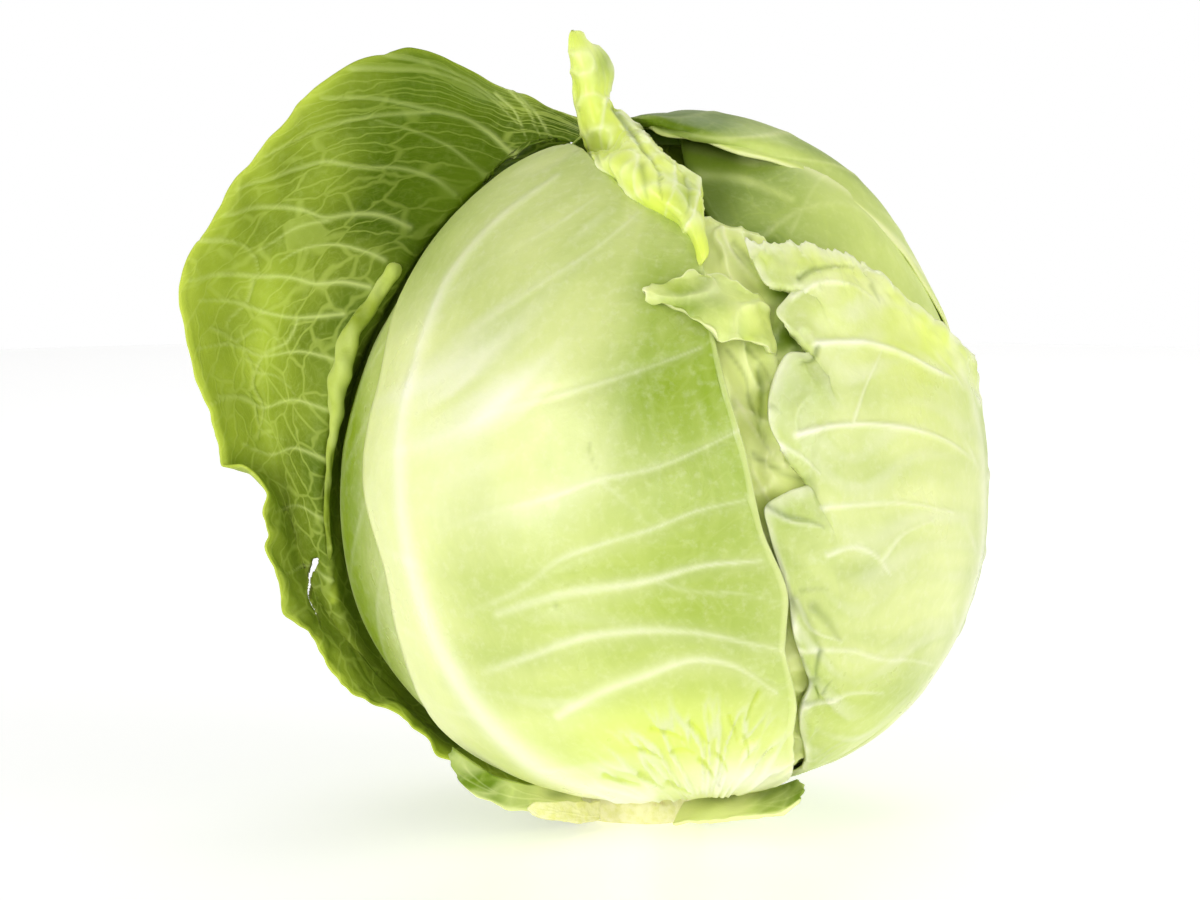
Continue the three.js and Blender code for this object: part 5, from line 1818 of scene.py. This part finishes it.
def closed_ball(name, rings, foot, crown, marks, finish):
    rows, columns = rings.shape[:2]
    spots = np.concatenate([rings.reshape(-1, 3), foot[None], crown[None]]) / 1000
    at = np.arange(rows * columns).reshape(rows, columns)
    after = np.roll(at, -1, axis=1)
    faces = np.stack([at[:-1], after[:-1], after[1:], at[1:]], axis=-1).reshape(-1, 4).tolist()
    low, high = rows * columns, rows * columns + 1
    faces += [(low, int(b), int(a)) for a, b in zip(at[0], after[0])]
    faces += [(high, int(a), int(b)) for a, b in zip(at[-1], after[-1])]
    mesh = bpy.data.meshes.new(name)
    mesh.from_pydata(spots.tolist(), [], faces)
    for mark, values in marks.items():
        layer = mesh.attributes.new(mark, "FLOAT", "POINT")
        full = np.append(values.ravel(), [values.ravel()[0], values.ravel()[-1]])
        layer.data.foreach_set("value", full.astype(np.float32))
    mesh.polygons.foreach_set("use_smooth", [True] * len(mesh.polygons))
    mesh.materials.append(finish)
    ball = bpy.data.objects.new(name, mesh)
    bpy.context.collection.objects.link(ball)
    return ball


def heart():
    lats, lons = np.meshgrid(np.linspace(-88.5, 88.5, 90), np.linspace(0, 360, 180, endpoint=False), indexing="ij")
    ways = direction(lons, lats)
    turn = HEART_LEAVES * (lons + 0.5 * lats) / 360
    lap = turn - np.floor(turn)
    level = np.cos(np.radians(lats))
    rib = np.exp(-(((lap - 0.5) / 0.03) ** 2)) * 0.6
    lift = HEART_LAYER + HEART_LAP * level * lap * ramp(1, 0.96, lap) + 0.3 * rib
    rings = place(ways, lift)
    rings[..., 2] = np.maximum(rings[..., 2], HEART_FLOOR)
    foot = np.array([HEAD_CENTRE[0], 0, rings[0, :, 2].mean()])
    crown = rings[-1].mean(axis=0)
    green = np.clip(0.6 + 0.3 * waves_of(rings, 20, 81), 0, 1)
    marks = {"vein": rib, "green": green, "flat_u": lons * 1.4, "flat_v": lats * 1.5}
    return closed_ball("heart_of_leaves", rings, foot, crown, marks, INNER_LEAF)


ball = heart()
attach(ball, "root")
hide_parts("heart")
print("heart has", 2 * len(ball.data.polygons), "triangles")

# %% Stump


def stump():
    curve_heights = np.array([0.0, 0.5, 1.4, 3.0, 5.0, 7.5, 11.0, STUMP_TOP])
    curve_insets = np.array([1.6, 0.9, 0.5, 0.1, 0.0, 0.6, 1.3, 2.2])
    rise = np.linspace(0, STUMP_TOP, 60)
    heights = np.concatenate([[0.0], rise, [STUMP_TOP]])
    radii = STUMP_RADIUS - np.concatenate([[16.0], np.interp(rise, curve_heights, curve_insets), [12.0]])
    turn = np.linspace(0, 2 * np.pi, 220, endpoint=False)
    flute = 1 + 0.035 * np.sin(5 * turn + 1) + 0.006 * np.sin(31 * turn) * np.sin(7 * turn)
    side = np.stack(np.broadcast_arrays(17 * np.cos(turn), 17 * np.sin(turn), heights[:, None]), axis=-1)
    lumps = 0.05 * waves_of(side, 6, 83) + 0.025 * waves_of(side, 2.5, 84)
    flute = flute - np.clip(lumps, 0, 0.08) * ramp(0.3, 2.0, heights)[:, None]
    rings = np.stack(
        [
            radii[:, None] * flute * np.cos(turn),
            radii[:, None] * flute * np.sin(turn),
            np.repeat(heights[:, None], len(turn), axis=1),
        ],
        axis=-1,
    )
    marks = {"vein": np.zeros(rings.shape[:2])}
    return closed_ball("stump", rings, np.array([0, 0, 0.0]), np.array([0, 0, STUMP_TOP]), marks, CUT_FLESH)


foot_piece = stump()
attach(foot_piece, "root")
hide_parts("stem")

# %% [markdown]
# ## Floor, light and camera
# The photograph is bright and soft: a white floor that runs into a white background, a large window
# of light from the front left, and white all round. The floor is a little glossy, so the stump has
# a faint mirror image.

# %% Floor
FLOOR_REACH = 1.1
FLOOR_SIDES = 96
floor_mesh = bpy.data.meshes.new("floor")
edge = [
    (FLOOR_REACH * math.cos(turn), FLOOR_REACH * math.sin(turn), -0.0002)
    for turn in np.linspace(0, 2 * math.pi, FLOOR_SIDES, endpoint=False)
]
floor_mesh.from_pydata(edge, [], [tuple(range(FLOOR_SIDES))])
floor = bpy.data.objects.new("floor", floor_mesh)
bpy.context.collection.objects.link(floor)
white = Finish("lit white table")
cloud = white.noise(white.place(), 8.0, 2.0)
white.set(white.surface.inputs["Base Color"], white.mix(cloud, (0.90, 0.90, 0.89, 1), (0.92, 0.92, 0.91, 1)))
white.surface.inputs["Roughness"].default_value = 0.3
white.surface.inputs["Emission Color"].default_value = (1, 1, 1, 1)
white.surface.inputs["Emission Strength"].default_value = 0.36
floor_mesh.materials.append(white.material)

# %% The white room: bright low down, dimmer overhead
scene = bpy.context.scene
scene.view_settings.view_transform = "Standard"
world = bpy.data.worlds.new("white room")
world.use_nodes = True
scene.world = world
room = world.node_tree.nodes
wires = world.node_tree.links
way = room.new("ShaderNodeTexCoord")
split = room.new("ShaderNodeSeparateXYZ")
wires.new(way.outputs["Generated"], split.inputs[0])
fade = room.new("ShaderNodeMapRange")
fade.interpolation_type = "SMOOTHSTEP"
wires.new(split.outputs["Z"], fade.inputs["Value"])
for name, number in (("From Min", 0.0), ("From Max", 0.35), ("To Min", 1.0), ("To Max", 0.42)):
    fade.inputs[name].default_value = number
room["Background"].inputs["Color"].default_value = (1, 1, 1, 1)
wires.new(fade.outputs["Result"], room["Background"].inputs["Strength"])

# %% Lamps
LIGHTS = [
    ("window", (-0.85, -1.05, 0.3), 0.45, 0.9, 8.0),
    ("fill_front", (-0.1, -1.35, 0.12), 0.5, 0.5, 1.6),
    ("fill_right", (1.1, -0.55, 0.5), 0.8, 0.8, 5.5),
    ("top_back", (0.2, 0.7, 1.1), 0.8, 0.8, 4.0),
]
for name, spot, wide, tall, power in LIGHTS:
    lamp = bpy.data.lights.new(name, "AREA")
    lamp.shape = "RECTANGLE"
    lamp.size, lamp.size_y = wide, tall
    lamp.energy = power
    holder = bpy.data.objects.new(name, lamp)
    holder.location = spot
    holder.rotation_euler = (Vector((0, 0, 0.1)) - holder.location).to_track_quat("-Z", "Y").to_euler()
    bpy.context.collection.objects.link(holder)

# %% Camera
SENSOR_WIDTH = 36.0
PICTURE_WIDTH = 1200
camera = bpy.data.cameras.new("camera")
camera.sensor_width = SENSOR_WIDTH
camera.lens = SENSOR_WIDTH * VIEW_DISTANCE / (PICTURE_WIDTH * MM_PER_PIXEL)
viewer = bpy.data.objects.new("camera", camera)
viewer.location = Vector(EYE / 1000)
viewer.rotation_euler = Vector(VIEW_BACK).to_track_quat("Z", "Y").to_euler()
bpy.context.collection.objects.link(viewer)
scene.camera = viewer
print("camera lens, in mm:", round(camera.lens, 1))

# %% [markdown]
# ## Finish
# The solids' box is printed at the start, and the blades are drawn in a little near three of its sides.
# The visual model must stay as large as the solids.

# %% The end
bpy.context.view_layer.update()
